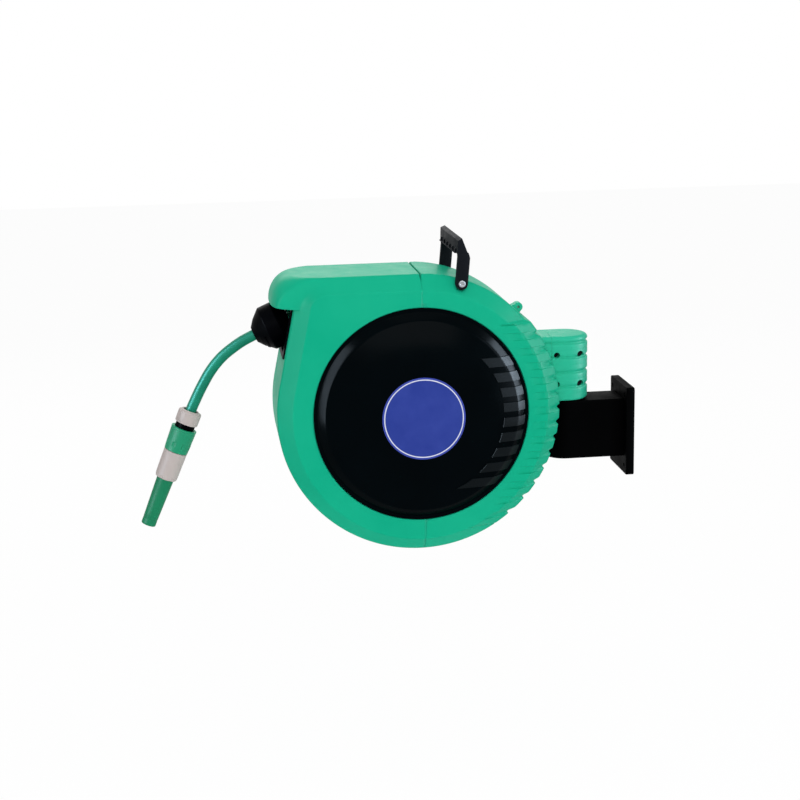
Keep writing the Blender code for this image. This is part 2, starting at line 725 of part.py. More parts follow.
# Wall bracket
def bracket():
    half = PLATE_WIDTH / 2
    arm = prism("wall_bracket", arm_outline(ARM_WIDTH / 2, -PLATE_THICK / 2), ARM_BOTTOM, ARM_TOP, "z")
    corners = round_rectangle(half, PLATE_HEIGHT / 2, PLATE_CORNER)
    add(arm, prism("plate", corners, -PLATE_THICK, 0.0, "x"))
    hollow = prism("hollow", arm_outline(ARM_WIDTH / 2 - ARM_WALL, -PLATE_THICK - ARM_WALL), ARM_BOTTOM - 0.01,
                   ARM_TOP - ARM_WALL, "z")
    cut(arm, hollow)
    socket_low = ARM_TOP - POST_SOCKET_DEPTH
    add(arm, cylinder("boss", POST_RADIUS + 0.005, (PX, 0, socket_low - 0.004), (PX, 0, ARM_TOP - ARM_WALL / 2)))
    cut(arm, cylinder("socket", POST_RADIUS + GAP, (PX, 0, socket_low), (PX, 0, ARM_TOP + 0.01)))
    for side in (-1, 1):
        for level in (-1, 1):
            y = side * (half - PLATE_HOLE_INSET)
            z = level * (PLATE_HEIGHT / 2 - PLATE_HOLE_INSET)
            cut(arm, cylinder("hole", PLATE_HOLE_RADIUS, (-0.03, y, z), (0.01, y, z), sides=HOLE))
    return renamed(arm, "wall_bracket", "black")


def swivel_parts():
    post_low = ARM_TOP - POST_SOCKET_DEPTH + GAP
    bore_top = COLUMN_TOP - COLUMN_CAP
    made = [cylinder("swivel_post", POST_RADIUS, (PX, 0, post_low), (PX, 0, bore_top - GAP), "steel")]
    inner = POST_RADIUS + RUN
    outer = inner + BUSH_WALL
    low = ARM_TOP + GAP
    thrust = [(inner, 0.0), (outer + 0.005, 0.0), (outer + 0.005, THRUST_THICK), (outer, THRUST_THICK),
              (outer, BUSH_LENGTH), (inner, BUSH_LENGTH)]
    made.append(turned("swivel_bush_lower", thrust, (PX, 0, low), (0, 0, 1), "acetal"))
    plain = [(inner, 0.0), (outer, 0.0), (outer, BUSH_LENGTH), (inner, BUSH_LENGTH)]
    made.append(turned("swivel_bush_upper", plain, (PX, 0, bore_top - GAP - BUSH_LENGTH), (0, 0, 1), "acetal"))
    number = 1
    for z in CLAMP_SCREW_HEIGHTS:
        for x in (PX - CLAMP_SCREW_OFFSET, PX + CLAMP_SCREW_OFFSET):
            made.append(screw(f"clamp_screw_{number}", (x, -CLAMP_HEAD - SCREW_HEAD_THICK - GAP, z), (0, 1, 0),
                              CLAMP_END + CLAMP_HEAD))
            number += 1
    return made


def screw(name, at, direction, length, head=None):
    """A screw with a socket in its head. It starts at the head's top and runs along its direction."""
    head = head or SCREW_HEAD_RADIUS
    dip = SCREW_HEAD_THICK / 2
    end = SCREW_HEAD_THICK + length
    profile = [(0.0, dip), (head * 0.4, 0.0), (head, 0.0), (head, SCREW_HEAD_THICK),
               (SCREW_SHANK_RADIUS, SCREW_HEAD_THICK), (SCREW_SHANK_RADIUS, end), (0.0, end)]
    return turned(name, profile, at, direction, "steel", SCREW_SIDES)


# Side covers
def cover_rise(radius):
    """Height of the cover's outer surface over the side face."""
    if radius >= BEVEL_OUTER:
        return -COVER_GAP
    if radius >= BEVEL_INNER:
        share = (BEVEL_OUTER - radius) / (BEVEL_OUTER - BEVEL_INNER)
        return -COVER_GAP + (BEVEL_RISE + COVER_GAP) * math.sin(share * math.pi / 2) ** 0.8
    share = (radius - LABEL_RADIUS) / (BEVEL_INNER - LABEL_RADIUS)
    return BEVEL_RISE + (COVER_RISE - BEVEL_RISE) * math.cos(min(max(share, 0.0), 1.0) * math.pi / 2)


def cover_shell(name, side, bore):
    flange = OPENING_RADIUS - COVER_GAP
    dome = BEVEL_INNER - LABEL_RADIUS
    radii = [flange, BEVEL_OUTER, BEVEL_OUTER - 0.008, BEVEL_INNER, LABEL_RADIUS + 0.71 * dome,
             LABEL_RADIUS + 0.375 * dome, LABEL_RADIUS + 0.0006]
    outer = [(r, FACE_HALF + cover_rise(r)) for r in radii]
    top = FACE_HALF + COVER_RISE
    under = top - COVER_WALL
    outer += [(LABEL_RADIUS + 0.0005, top - LABEL_THICK)]
    outer += [(bore, top - LABEL_THICK)] if bore else [(0.0, top - LABEL_THICK)]
    hub_end = DRUM_HALF + 0.0060
    hub = AXLE_RADIUS + 0.0045
    seat = AXLE_RADIUS + GAP
    if bore:
        inner = [(bore, hub_end), (hub, hub_end), (hub, under)]
    else:
        inner = [(0.0, under - 0.001), (seat, under - 0.001), (seat, hub_end), (hub, hub_end), (hub, under)]
    middle = LABEL_RADIUS + dome / 2
    inner += [(LABEL_RADIUS, under), (middle, FACE_HALF + cover_rise(middle) - COVER_WALL)]
    inner += [(BEVEL_INNER - 0.002, FACE_HALF + cover_rise(BEVEL_INNER) - COVER_WALL)]
    inner += [(OPENING_RADIUS - REBATE_LIP, FACE_HALF - REBATE_DEPTH + GAP), (flange, FACE_HALF - REBATE_DEPTH + GAP)]
    return turned(name, outer + inner, AXIS, (0, side, 0), "black", ROUND)


def cover_pads(side):
    """Raised level pads along the cover's wall side, following its surface."""
    radii = [BEVEL_OUTER + 0.001, BEVEL_OUTER - 0.008, BEVEL_INNER, PAD_START]
    outer = [(r, FACE_HALF + cover_rise(r) + PAD_HEIGHT) for r in radii]
    inner = [(r, FACE_HALF + cover_rise(r) - COVER_WALL / 2) for r in reversed(radii)]
    inner[-1] = (radii[0], FACE_HALF - COVER_GAP - 0.001)
    ring = turned("pads", outer + inner, AXIS, (0, side, 0), "black", ROUND)
    count = int(PAD_REACH / RIB_PITCH)
    return keep(ring, bands("slabs", -count, count, PAD_WIDTH, AX + 0.04, 0.0, 0.2))


def tie_place(angle, y):
    turn = math.radians(angle)
    return AXIS + Vector((TIE_POST_CIRCLE * math.cos(turn), y, TIE_POST_CIRCLE * math.sin(turn)))


def side_covers():
    label_side = cover_shell("label_side_cover", -1, 0.0)
    inlet_side = cover_shell("inlet_side_cover", 1, AXLE_RADIUS + GAP)
    for cover, side in ((label_side, -1), (inlet_side, 1)):
        add(cover, cover_pads(side))
    post_end = FACE_HALF - REBATE_DEPTH - 0.001
    for angle in TIE_POST_ANGLES:
        start = tie_place(angle, -FACE_HALF - 0.0020)
        seat = FACE_HALF - REBATE_DEPTH + GAP
        add(inlet_side, cylinder("boss", TIE_POST_RADIUS + 0.0015, tie_place(angle, seat + 0.0002),
                                 tie_place(angle, seat + 0.0055), sides=HOLE))
        add(label_side, cylinder("post", TIE_POST_RADIUS, start, tie_place(angle, post_end), sides=HOLE))
        cut(label_side, cylinder("hole", SCREW_SHANK_RADIUS + GAP, tie_place(angle, post_end - 0.016),
                                 tie_place(angle, post_end + 0.01), sides=HOLE))
        cut(inlet_side, cylinder("hole", SCREW_SHANK_RADIUS + GAP, tie_place(angle, 0.06), tie_place(angle, 0.1),
                                 sides=HOLE))
        head_floor = FACE_HALF - 0.0005
        cut(inlet_side, cylinder("recess", SCREW_HEAD_RADIUS + 0.0006, tie_place(angle, head_floor),
                                 tie_place(angle, 0.1), sides=HOLE))
    pin = pawl_pivot()
    boss_top = -(DRUM_HALF + RATCHET_THICK + 0.0010)
    add(label_side, cylinder("boss", PAWL_EYE_RADIUS, (pin.x, -FACE_HALF - cover_rise(PAWL_CIRCLE) + 0.0011, pin.z), (pin.x, boss_top, pin.z),
                             sides=SMALL))
    cut(label_side, cylinder("hole", PAWL_PIN_RADIUS + GAP, (pin.x, boss_top - 0.012, pin.z), (pin.x, 0.0, pin.z),
                             sides=HOLE))
    renamed(label_side, "label_side_cover", "black")
    renamed(inlet_side, "inlet_side_cover", "black")
    top = FACE_HALF + COVER_RISE
    disc = [(0.0, top), (LABEL_RADIUS, top), (LABEL_RADIUS, top - LABEL_THICK + GAP), (0.0, top - LABEL_THICK + GAP)]
    turned("label_disc", disc, AXIS, (0, -1, 0), "label", ROUND)
    for number, angle in enumerate(TIE_POST_ANGLES, 1):
        at = tie_place(angle, FACE_HALF - 0.0005 + SCREW_HEAD_THICK + GAP)
        screw(f"cover_screw_{number}", at, (0, -1, 0), 0.018)


# Axle, inlet and the parts that stay still inside the drum
def axle_parts():
    near_end = -(FACE_HALF + COVER_RISE - COVER_WALL - 0.001 - GAP)
    far_end = FACE_HALF + COVER_RISE + ELBOW_LENGTH * 0.6
    length = far_end - near_end
    profile = [(AXLE_BORE, 0.002), (AXLE_BORE, length), (AXLE_RADIUS, length), (AXLE_RADIUS, 0.0), (0.0, 0.0),
               (0.0, 0.002)]
    axle = turned("axle_tube", profile, (AX, near_end, AZ), (0, 1, 0), "acetal")
    port = Vector((AX, SWIVEL_BLOCK_CENTRE, AZ))
    cut(axle, cylinder("port", AXLE_PORT_RADIUS, port, port + Vector((0, 0, 0.02)), sides=HOLE))
    renamed(axle, "axle_tube", "acetal")
    inner = AXLE_RADIUS + GAP
    wide = SPRING_CASE_WIDTH - 0.007
    ring = [(inner, 0.0), (inner + ARBOR_WALL, 0.0), (inner + ARBOR_WALL, wide), (inner, wide)]
    turned("spring_arbor", ring, (AX, SPRING_LOW + 0.003, AZ), (0, 1, 0), "steel")
    base = FACE_HALF + COVER_RISE - LABEL_THICK + GAP
    end = base + ELBOW_LENGTH
    elbow = cylinder("inlet_elbow", ELBOW_RADIUS, (AX, base, AZ), (AX, end, AZ), "black")
    branch_y = end - ELBOW_BRANCH_RADIUS - 0.0005
    add(elbow, cylinder("branch", ELBOW_BRANCH_RADIUS, (AX, branch_y, AZ - 0.0015), (AX, branch_y, AZ - ELBOW_DROP)))
    cut(elbow, cylinder("bore", AXLE_RADIUS + GAP, (AX, base - 0.01, AZ), (AX, far_end + GAP, AZ)))
    inside = AZ - AXLE_RADIUS / 2
    cut(elbow, cylinder("bore", NIPPLE_RADIUS - 0.002, (AX, branch_y, inside), (AX, branch_y, AZ - ELBOW_DROP - 0.01)))
    renamed(elbow, "inlet_elbow", "black")
    bottom = AZ - ELBOW_DROP - GAP
    nipple_profile = [(0.0050, 0.0), (0.0115, 0.0), (0.0115, 0.004), (NIPPLE_RADIUS, 0.0055), (NIPPLE_RADIUS, 0.0110),
                      (NIPPLE_RADIUS - 0.0015, 0.0120), (NIPPLE_RADIUS - 0.0015, 0.0150), (NIPPLE_RADIUS, 0.0160),
                      (NIPPLE_RADIUS, NIPPLE_LENGTH), (0.0050, NIPPLE_LENGTH)]
    turned("inlet_nipple", nipple_profile, (AX, branch_y, bottom), (0, 0, -1), "grey", FINE)


# Drum and what turns with it
def drum_half(name, side):
    web = DRUM_HALF - FLANGE_THICK
    bore = AXLE_RADIUS + RUN + DRUM_BUSH_WALL + GAP
    profile = [(bore, DRUM_HALF), (FLANGE_RADIUS, DRUM_HALF), (FLANGE_RADIUS, web), (CORE_RADIUS, web),
               (CORE_RADIUS, GAP / 2), (CORE_RADIUS - CORE_WALL, GAP / 2), (CORE_RADIUS - CORE_WALL, web),
               (HUB_RADIUS, web), (HUB_RADIUS, DRUM_HALF - HUB_LENGTH), (bore, DRUM_HALF - HUB_LENGTH)]
    half = turned(name, profile, AXIS, (0, side, 0), "black", DRUM)
    for angle in (60, 180, 300):
        place = drum_screw_place(angle)
        cut(half, cylinder("hole", SCREW_SHANK_RADIUS + GAP, place + Vector((0, side * 0.04, 0)),
                           place + Vector((0, side * 0.07, 0)), sides=HOLE))
    return half


def drum_screw_place(angle):
    turn = math.radians(angle)
    return AXIS + Vector((DRUM_SCREW_CIRCLE * math.cos(turn), 0, DRUM_SCREW_CIRCLE * math.sin(turn)))


SPRING_LOW = -(DRUM_HALF - HUB_LENGTH) + 0.0010


def spring_parts():
    bore = AXLE_RADIUS + GAP + ARBOR_WALL + RUN
    low = SPRING_LOW
    high = low + SPRING_CASE_WIDTH
    wall = SPRING_CASE_WALL
    inner_bore = AXLE_RADIUS + RUN
    cup = [(inner_bore, low), (SPRING_CASE_RADIUS, low), (SPRING_CASE_RADIUS, high),
           (SPRING_CASE_RADIUS - wall, high), (SPRING_CASE_RADIUS - wall, low + wall), (inner_bore, low + wall)]
    turned("spring_case", cup, AXIS, (0, 1, 0), "steel", SMALL)
    lid = [(inner_bore, high + GAP), (SPRING_CASE_RADIUS, high + GAP), (SPRING_CASE_RADIUS, high + GAP + wall),
           (inner_bore, high + GAP + wall)]
    turned("spring_lid", lid, AXIS, (0, 1, 0), "steel", SMALL)
    start = bore + SPRING_THICK
    end = SPRING_CASE_RADIUS - wall - SPRING_THICK - GAP
    outline_out, outline_in = [], []
    steps = SPRING_TURNS * 12
    for step in range(steps + 1):
        turn = 2 * math.pi * step / 12
        radius = start + (end - start) * step / steps
        way = (math.cos(turn), math.sin(turn))
        outline_out.append((AX + way[0] * (radius + SPRING_THICK / 2), AZ + way[1] * (radius + SPRING_THICK / 2)))
        outline_in.append((AX + way[0] * (radius - SPRING_THICK / 2), AZ + way[1] * (radius - SPRING_THICK / 2)))
    ribbon("power_spring", outline_out, outline_in, low + wall + 0.001, high - 0.001)


def ribbon(name, outer, inner, low, high):
    """A strip between two lines in side view, pushed along Y."""
    count = len(outer)
    points = []
    for y in (low, high):
        points += [(x, y, z) for x, z in outer] + [(x, y, z) for x, z in inner]
    faces = []
    for step in range(count - 1):
        a, b = step, step + 1
        faces.append([a, b, count + b, count + a])
        faces.append([2 * count + a, 2 * count + b, 3 * count + b, 3 * count + a])
        faces.append([a, b, 2 * count + b, 2 * count + a])
        faces.append([count + a, count + b, 3 * count + b, 3 * count + a])
    for end in (0, count - 1):
        faces.append([end, count + end, 3 * count + end, 2 * count + end])
    return solid(name, points, faces, "steel")


def swivel_block():
    """Rotary water joint: a ring round the axle with a spigot to the hose and two seal grooves."""
    low = SWIVEL_BLOCK_CENTRE - SWIVEL_BLOCK_WIDTH / 2
    bore = AXLE_RADIUS + RUN
    groove = AXLE_RADIUS + RUN + 2 * SEAL_WIRE + GAP
    profile = [(SWIVEL_BLOCK_RADIUS, 0.0), (SWIVEL_BLOCK_RADIUS, SWIVEL_BLOCK_WIDTH), (bore, SWIVEL_BLOCK_WIDTH)]
    for side in (1, -1):
        middle = SWIVEL_BLOCK_WIDTH / 2 + side * SEAL_SPACING / 2
        for edge in (1, -1):
            y = middle + edge * (SEAL_WIRE + GAP)
            profile += [(bore, y), (groove, y)] if edge == 1 else [(groove, y), (bore, y)]
    profile.append((bore, 0.0))
    block = turned("swivel_block", profile, (AX, low, AZ), (0, 1, 0), "black", FINE)
    centre = Vector((AX, SWIVEL_BLOCK_CENTRE, AZ))
    up = Vector((0, 0, 1))
    add(block, cylinder("spigot", SPIGOT_RADIUS, centre + up * (SWIVEL_BLOCK_RADIUS - 0.003),
                        centre + up * (CORE_RADIUS - 0.0012), sides=HOLE))
    cut(block, cylinder("bore", SPIGOT_RADIUS - 0.0022, centre + up * (AXLE_RADIUS - 0.002),
                        centre + up * (CORE_RADIUS + 0.01), sides=HOLE))
    renamed(block, "swivel_block", "brass")
    for number, side in enumerate((-1, 1), 1):
        seal(f"swivel_seal_{number}", (AX, SWIVEL_BLOCK_CENTRE + side * SEAL_SPACING / 2, AZ), (0, 1, 0),
             AXLE_RADIUS + RUN + SEAL_WIRE, SEAL_WIRE)


def seal(name, at, direction, radius, wire):
    profile = [(radius + wire * math.cos(turn), wire * math.sin(turn))
               for turn in [2 * math.pi * step / 6 + math.pi / 6 for step in range(6)]]
    return turned(name, profile, at, direction, "rubber", FINE)


def drum_parts():
    near = drum_half("drum_half_label_side", -1)
    far = drum_half("drum_half_inlet_side", 1)
    centre = Vector((AX, SWIVEL_BLOCK_CENTRE, AZ))
    up = Vector((0, 0, 1))
    cut(far, cylinder("port", SPIGOT_RADIUS + GAP, centre + up * (CORE_RADIUS - 0.006), centre + up * 0.07,
                      sides=HOLE))
    renamed(near, "drum_half_label_side", "black")
    renamed(far, "drum_half_inlet_side", "black")
    inner = AXLE_RADIUS + RUN
    bush = [(inner, 0.0), (inner + DRUM_BUSH_WALL, 0.0), (inner + DRUM_BUSH_WALL, HUB_LENGTH), (inner, HUB_LENGTH)]
    for name, y in (("drum_bush_1", -DRUM_HALF), ("drum_bush_2", DRUM_HALF - HUB_LENGTH)):
        turned(name, bush, (AX, y, AZ), (0, 1, 0), "acetal")
    for number, angle in enumerate((60, 180, 300), 1):
        at = drum_screw_place(angle) + Vector((0, DRUM_HALF + SCREW_HEAD_THICK + GAP, 0))
        screw(f"drum_screw_{number}", at, (0, -1, 0), 2 * DRUM_HALF + 0.002)
    swivel_block()
    spring_parts()
    winding()


def winding():
    """The hose on the drum: a plain core for the inner layers and the outer layer's turns over it."""
    layer = WINDING_OUTER - HOSE_RADIUS
    core_outer = (layer - HOSE_RADIUS) * math.cos(math.pi / WINDING_POINTS_PER_TURN) - GAP
    half = DRUM_HALF - FLANGE_THICK - GAP
    inner = CORE_RADIUS + GAP
    ring = [(inner, -half), (core_outer, -half), (core_outer, half), (inner, half)]
    turned("hose_inner_layers", ring, AXIS, (0, 1, 0), "hose", DRUM)
    count = WINDING_TURNS * WINDING_POINTS_PER_TURN
    points = []
    for step in range(count + 1):
        turn = 2 * math.pi * step / WINDING_POINTS_PER_TURN
        y = WINDING_PITCH * (step / WINDING_POINTS_PER_TURN - WINDING_TURNS / 2)
        points.append(AXIS + Vector((layer * math.cos(turn), y, layer * math.sin(turn))))
    print("winding: least gap to itself", round((WINDING_PITCH - 2 * HOSE_RADIUS) * 1000, 3), "mm")
    hose("hose_outer_layer", points, HOSE_RADIUS, 1)


# Ratchet and pawl
def pawl_pivot():
    return AXIS + Vector((PAWL_CIRCLE * math.cos(PAWL_ANGLE), 0, PAWL_CIRCLE * math.sin(PAWL_ANGLE)))


def ratchet_parts():
    outer, inner = [], []
    pitch = 2 * math.pi / RATCHET_TEETH
    for tooth in range(RATCHET_TEETH):
        start = RATCHET_START + tooth * pitch
        for share, radius in ((0.0, RATCHET_ROOT), (0.02, RATCHET_TIP)):
            turn = start + pitch * share
            outer.append((AX + radius * math.cos(turn), AZ + radius * math.sin(turn)))
            inner.append((AX + RATCHET_BORE * math.cos(turn), AZ + RATCHET_BORE * math.sin(turn)))
    low = -(DRUM_HALF + GAP + RATCHET_THICK)
    high = -(DRUM_HALF + GAP)
    count = len(outer)
    points = []
    for y in (low, high):
        points += [(x, y, z) for x, z in outer] + [(x, y, z) for x, z in inner]
    faces = []
    for step in range(count):
        ahead = (step + 1) % count
        faces.append([step, ahead, count + ahead, count + step])
        faces.append([2 * count + step, 2 * count + ahead, 3 * count + ahead, 3 * count + step])
        faces.append([step, ahead, 2 * count + ahead, 2 * count + step])
        faces.append([count + step, count + ahead, 3 * count + ahead, 3 * count + step])
    solid("ratchet_wheel", points, faces, "steel")
    pin = pawl_pivot()
    tip = AXIS + Vector((PAWL_TIP_CIRCLE * math.cos(PAWL_TIP_ANGLE), 0, PAWL_TIP_CIRCLE * math.sin(PAWL_TIP_ANGLE)))
    pawl_low = low + 0.0002
    way = (tip - pin).normalized()
    side = Vector((way.z, 0, -way.x))
    outline = []
    facing = math.atan2(way.z, way.x)
    for step in range(9):
        turn = facing - math.radians(60) - math.radians(240) * step / 8
        outline.append((pin.x + PAWL_EYE_RADIUS * math.cos(turn), pin.z + PAWL_EYE_RADIUS * math.sin(turn)))
    heel = tip - way * 0.006
    outline.append((heel.x - side.x * 0.0012, heel.z - side.z * 0.0012))
    outline.append((tip.x, tip.z))
    outline.append((tip.x + side.x * 0.0020, tip.z + side.z * 0.0020))
    outline.append((heel.x + side.x * 0.0028, heel.z + side.z * 0.0028))
    pawl = prism("ratchet_pawl", outline, pawl_low, pawl_low + PAWL_THICK, "y")
    cut(pawl, cylinder("eye", PAWL_PIN_RADIUS + RUN, (pin.x, -0.1, pin.z), (pin.x, 0.0, pin.z), sides=SHANK))
    renamed(pawl, "ratchet_pawl", "steel")
    boss_top = -(DRUM_HALF + RATCHET_THICK + 0.0010)
    cylinder("pawl_pin", PAWL_PIN_RADIUS, (pin.x, boss_top - 0.011, pin.z), (pin.x, pawl_low + PAWL_THICK + 0.0003, pin.z),
             "steel", SHANK)


# Fairlead
def fairlead():
    x = AX - FRAME_X
    z = LEAD_Z
    half_depth = FRAME_DEPTH / 2
    frame = box("fairlead_frame", (x - half_depth, -FRAME_HALF_WIDTH, z - FRAME_HALF_HEIGHT),
                (x + half_depth, FRAME_HALF_WIDTH, z + FRAME_HALF_HEIGHT))
    inner_y = FRAME_HALF_WIDTH - FRAME_WALL
    inner_z = FRAME_HALF_HEIGHT - FRAME_WALL
    cut(frame, box("way", (x - 0.05, -inner_y, z - inner_z), (x + 0.05, inner_y, z + inner_z)))
    offset = HOSE_RADIUS + ROLLER_RADIUS + ROLLER_CLEAR
    lying_x = x - ROLLER_SPACING / 2
    standing_x = x + ROLLER_SPACING / 2
    hole = ROLLER_JOURNAL + RUN
    for side in (-1, 1):
        place = Vector((lying_x, 0, z + side * offset))
        across = Vector((0, 0.05, 0))
        cut(frame, cylinder("hole", hole, place - across, place + across, sides=SHANK))
        roller(f"roller_{'lower' if side < 0 else 'upper'}", place, (0, 1, 0), inner_y)
        place = Vector((standing_x, side * offset, z))
        across = Vector((0, 0, 0.05))
        cut(frame, cylinder("hole", hole, place - across, place + across, sides=SHANK))
        roller(f"roller_{'label_side' if side < 0 else 'inlet_side'}", place, (0, 0, 1), inner_z)
    renamed(frame, "fairlead_frame", "black")


def roller(name, at, direction, half):
    body = half - 0.0005
    end = half + FRAME_WALL - 0.0003
    profile = [(0.0, -end), (ROLLER_JOURNAL, -end), (ROLLER_JOURNAL, -body), (ROLLER_RADIUS, -body),
               (ROLLER_RADIUS, body), (ROLLER_JOURNAL, body), (ROLLER_JOURNAL, end), (0.0, end)]
    item = turned(name, profile, at, direction, "acetal", SHANK)
    return origin_at(item, at)


# Hose from the drum to its end
def smooth_route(route, spacing):
    """Points at an even spacing on a Catmull-Rom curve through the route."""
    ends = [route[0] * 2 - route[1]] + route + [route[-1] * 2 - route[-2]]
    fine = []
    for index in range(1, len(ends) - 2):
        p0, p1, p2, p3 = ends[index - 1:index + 3]
        for step in range(40):
            t = step / 40
            fine.append(0.5 * ((2 * p1) + (p2 - p0) * t + (2 * p0 - 5 * p1 + 4 * p2 - p3) * t ** 2
                               + (3 * p1 - p0 - 3 * p2 + p3) * t ** 3))
    fine.append(route[-1])
    length = sum((b - a).length for a, b in zip(fine, fine[1:]))
    count = max(2, round(length / spacing))
    points, travelled, goal = [fine[0]], 0.0, length / count
    for a, b in zip(fine, fine[1:]):
        travelled += (b - a).length
        if travelled >= goal and len(points) < count:
            points.append(b)
            goal += length / count
    points.append(fine[-1])
    return points, length


LEAD_END = BEND_END + EXIT * 0.0150


def bend_point(share):
    turn = EXIT_ANGLE * share
    x = AX - LEAD_BEND_START - LEAD_BEND_RADIUS * math.sin(turn)
    return (x, 0.0, LEAD_Z - LEAD_BEND_RADIUS * (1 - math.cos(turn)))


# Route of the hose inside the housing, from the top of the drum to the mouth
LEAD_ROUTE = [
    (AX - LEAD_BEND_START + 0.149, 0.030, LEAD_Z), (AX - LEAD_BEND_START + 0.115, 0.027, LEAD_Z),
    (AX - LEAD_BEND_START + 0.077, 0.015, LEAD_Z), (AX - LEAD_BEND_START + 0.045, 0.004, LEAD_Z),
    (AX - LEAD_BEND_START + 0.023, 0.0, LEAD_Z), bend_point(0.0), bend_point(0.5), bend_point(1.0),
    tuple(BEND_END + EXIT * 0.0075), tuple(LEAD_END),
]

# Route of the free hose in the middle plane, from the stop to the connector, measured from the stop's middle
FREE_ROUTE = [
    (-0.0247, -0.0110), (-0.0397, -0.0184), (-0.0527, -0.0268), (-0.0657, -0.0368),
    (-0.0767, -0.0482), (-0.0854, -0.0598), (-0.0927, -0.0718), (-0.0991, -0.0833), (-0.1053, -0.0956),
]


def hose_parts():
    start = LEAD_END + EXIT * GAP
    points, length = smooth_route([Vector(p) for p in LEAD_ROUTE], 0.012)
    hose("hose_lead", points, HOSE_RADIUS, 2)
    route = [start, (start + STOP) / 2, STOP, STOP + EXIT * 0.012]
    route += [STOP + Vector((x, 0.0, z)) for x, z in FREE_ROUTE] + [NUT_AT + DOWN_HOSE * 0.0005]
    route.append(NUT_AT + DOWN_HOSE * (NUT_LENGTH + 0.004))
    points, length = smooth_route(route, 0.012)
    print("free hose length", round(length, 4))
    hose("hose_free", points, HOSE_RADIUS, 2)
    bore = HOSE_RADIUS + GAP
    profile = [(bore, STOP_PROFILE[-1][0]), (bore, STOP_PROFILE[0][0])]
    profile += [(radius, along) for along, radius in STOP_PROFILE]
    whole = turned("stop", profile, STOP, EXIT, "black", STOP_SIDES)
    places = [STOP - EXIT * 0.003 + n * 0.0190 for n in (Vector((-EXIT.z, 0, EXIT.x)), Vector((EXIT.z, 0, -EXIT.x)))]
    for place in places:
        cut(whole, cylinder("hole", SCREW_SHANK_RADIUS + GAP, place - Vector((0, 0.04, 0)),
                            place + Vector((0, 0.016, 0)), sides=HOLE))
        cut(whole, cylinder("recess", SCREW_HEAD_RADIUS + GAP, place - Vector((0, 0.04, 0)),
                            place - Vector((0, 0.015, 0)), sides=HOLE))
    other = copied(whole, "hose_stop_inlet_side")
    keep(whole, box("half", (-1, -1, -1), (1, -GAP / 2, 1)))
    keep(other, box("half", (-1, GAP / 2, -1), (1, 1, 1)))
    renamed(whole, "hose_stop_label_side", "black")
    renamed(other, "hose_stop_inlet_side", "black")
    for number, place in enumerate(places, 1):
        at = place - Vector((0, 0.015 + SCREW_HEAD_THICK + GAP, 0))
        screw(f"stop_screw_{number}", at, (0, 1, 0), 0.028)


def connector_parts():
    bore = HOSE_RADIUS + GAP
    along = DOWN_HOSE
    nut = [(bore, 0.0), (NUT_RADIUS - 0.004, 0.0), (NUT_RADIUS, 0.002), (NUT_RADIUS, NUT_LENGTH),
           (BODY_RADIUS - 0.002 + GAP, NUT_LENGTH), (BODY_RADIUS - 0.002 + GAP, 0.005), (bore, 0.005)]
    turned("connector_nut", nut, NUT_AT, along, "grey", FINE)
    start = 0.006
    shoulder = NUT_LENGTH + GAP
    body_end = NUT_LENGTH + BODY_GAP + SLEEVE_LENGTH - 0.004
    tail_seat = TAIL_RADIUS + RUN
    seat_start = body_end - TAIL_LENGTH
    body = [(bore, start), (BODY_RADIUS - 0.002, start), (BODY_RADIUS - 0.002, shoulder), (BODY_RADIUS, shoulder),
            (BODY_RADIUS, body_end), (tail_seat, body_end), (tail_seat, seat_start), (0.0045, seat_start),
            (0.0045, NUT_LENGTH + 0.006), (bore, NUT_LENGTH + 0.006)]
    turned("connector_body", body, NUT_AT, along, "black", FINE)
    sleeve_start = NUT_LENGTH + BODY_GAP
    inner = BODY_RADIUS + RUN
    sleeve = [(inner, 0.0), (SLEEVE_TOP_RADIUS - 0.001, 0.0), (SLEEVE_TOP_RADIUS, 0.001),
              (SLEEVE_END_RADIUS, SLEEVE_LENGTH - 0.001), (SLEEVE_END_RADIUS - 0.001, SLEEVE_LENGTH),
              (inner, SLEEVE_LENGTH)]
    at = NUT_AT + along * sleeve_start
    origin_at(turned("release_sleeve", sleeve, at, along, "green", FINE), at)
    grip_start = sleeve_start + SLEEVE_LENGTH + GAP
    at = NUT_AT + along * grip_start
    tail = seat_start + GAP - grip_start
    thread = TUBE_TOP_RADIUS + GAP
    grip = [(0.0045, tail), (TAIL_RADIUS - 0.001, tail), (TAIL_RADIUS, tail + 0.001), (TAIL_RADIUS, -0.0020),
            (BODY_RADIUS - 0.001, -0.0020), (BODY_RADIUS - 0.001, 0.0), (GRIP_RADIUS, 0.0),
            (GRIP_RADIUS, GRIP_LENGTH - 0.0020), (GRIP_RADIUS - 0.0020, GRIP_LENGTH), (thread, GRIP_LENGTH),
            (thread, GRIP_LENGTH - 0.020), (0.0045, GRIP_LENGTH - 0.020)]
    origin_at(turned("nozzle_grip", grip, at, along, "grey", FINE), at)
    at = NUT_AT + along * (grip_start + GRIP_LENGTH)
    tube = [(TUBE_BORE, -0.0195), (TUBE_TOP_RADIUS, -0.0195), (TUBE_TOP_RADIUS, 0.0),
            (TUBE_END_RADIUS, TUBE_LENGTH), (TUBE_BORE, TUBE_LENGTH)]
    origin_at(turned("nozzle_tube", tube, at, along, "green", FINE), at)


# Carry handle
def handle_point(across, up):
    c, s = math.cos(HANDLE_LEAN), math.sin(HANDLE_LEAN)
    return (HANDLE_PIVOT.x + across * c + up * s, HANDLE_PIVOT.z - across * s + up * c)


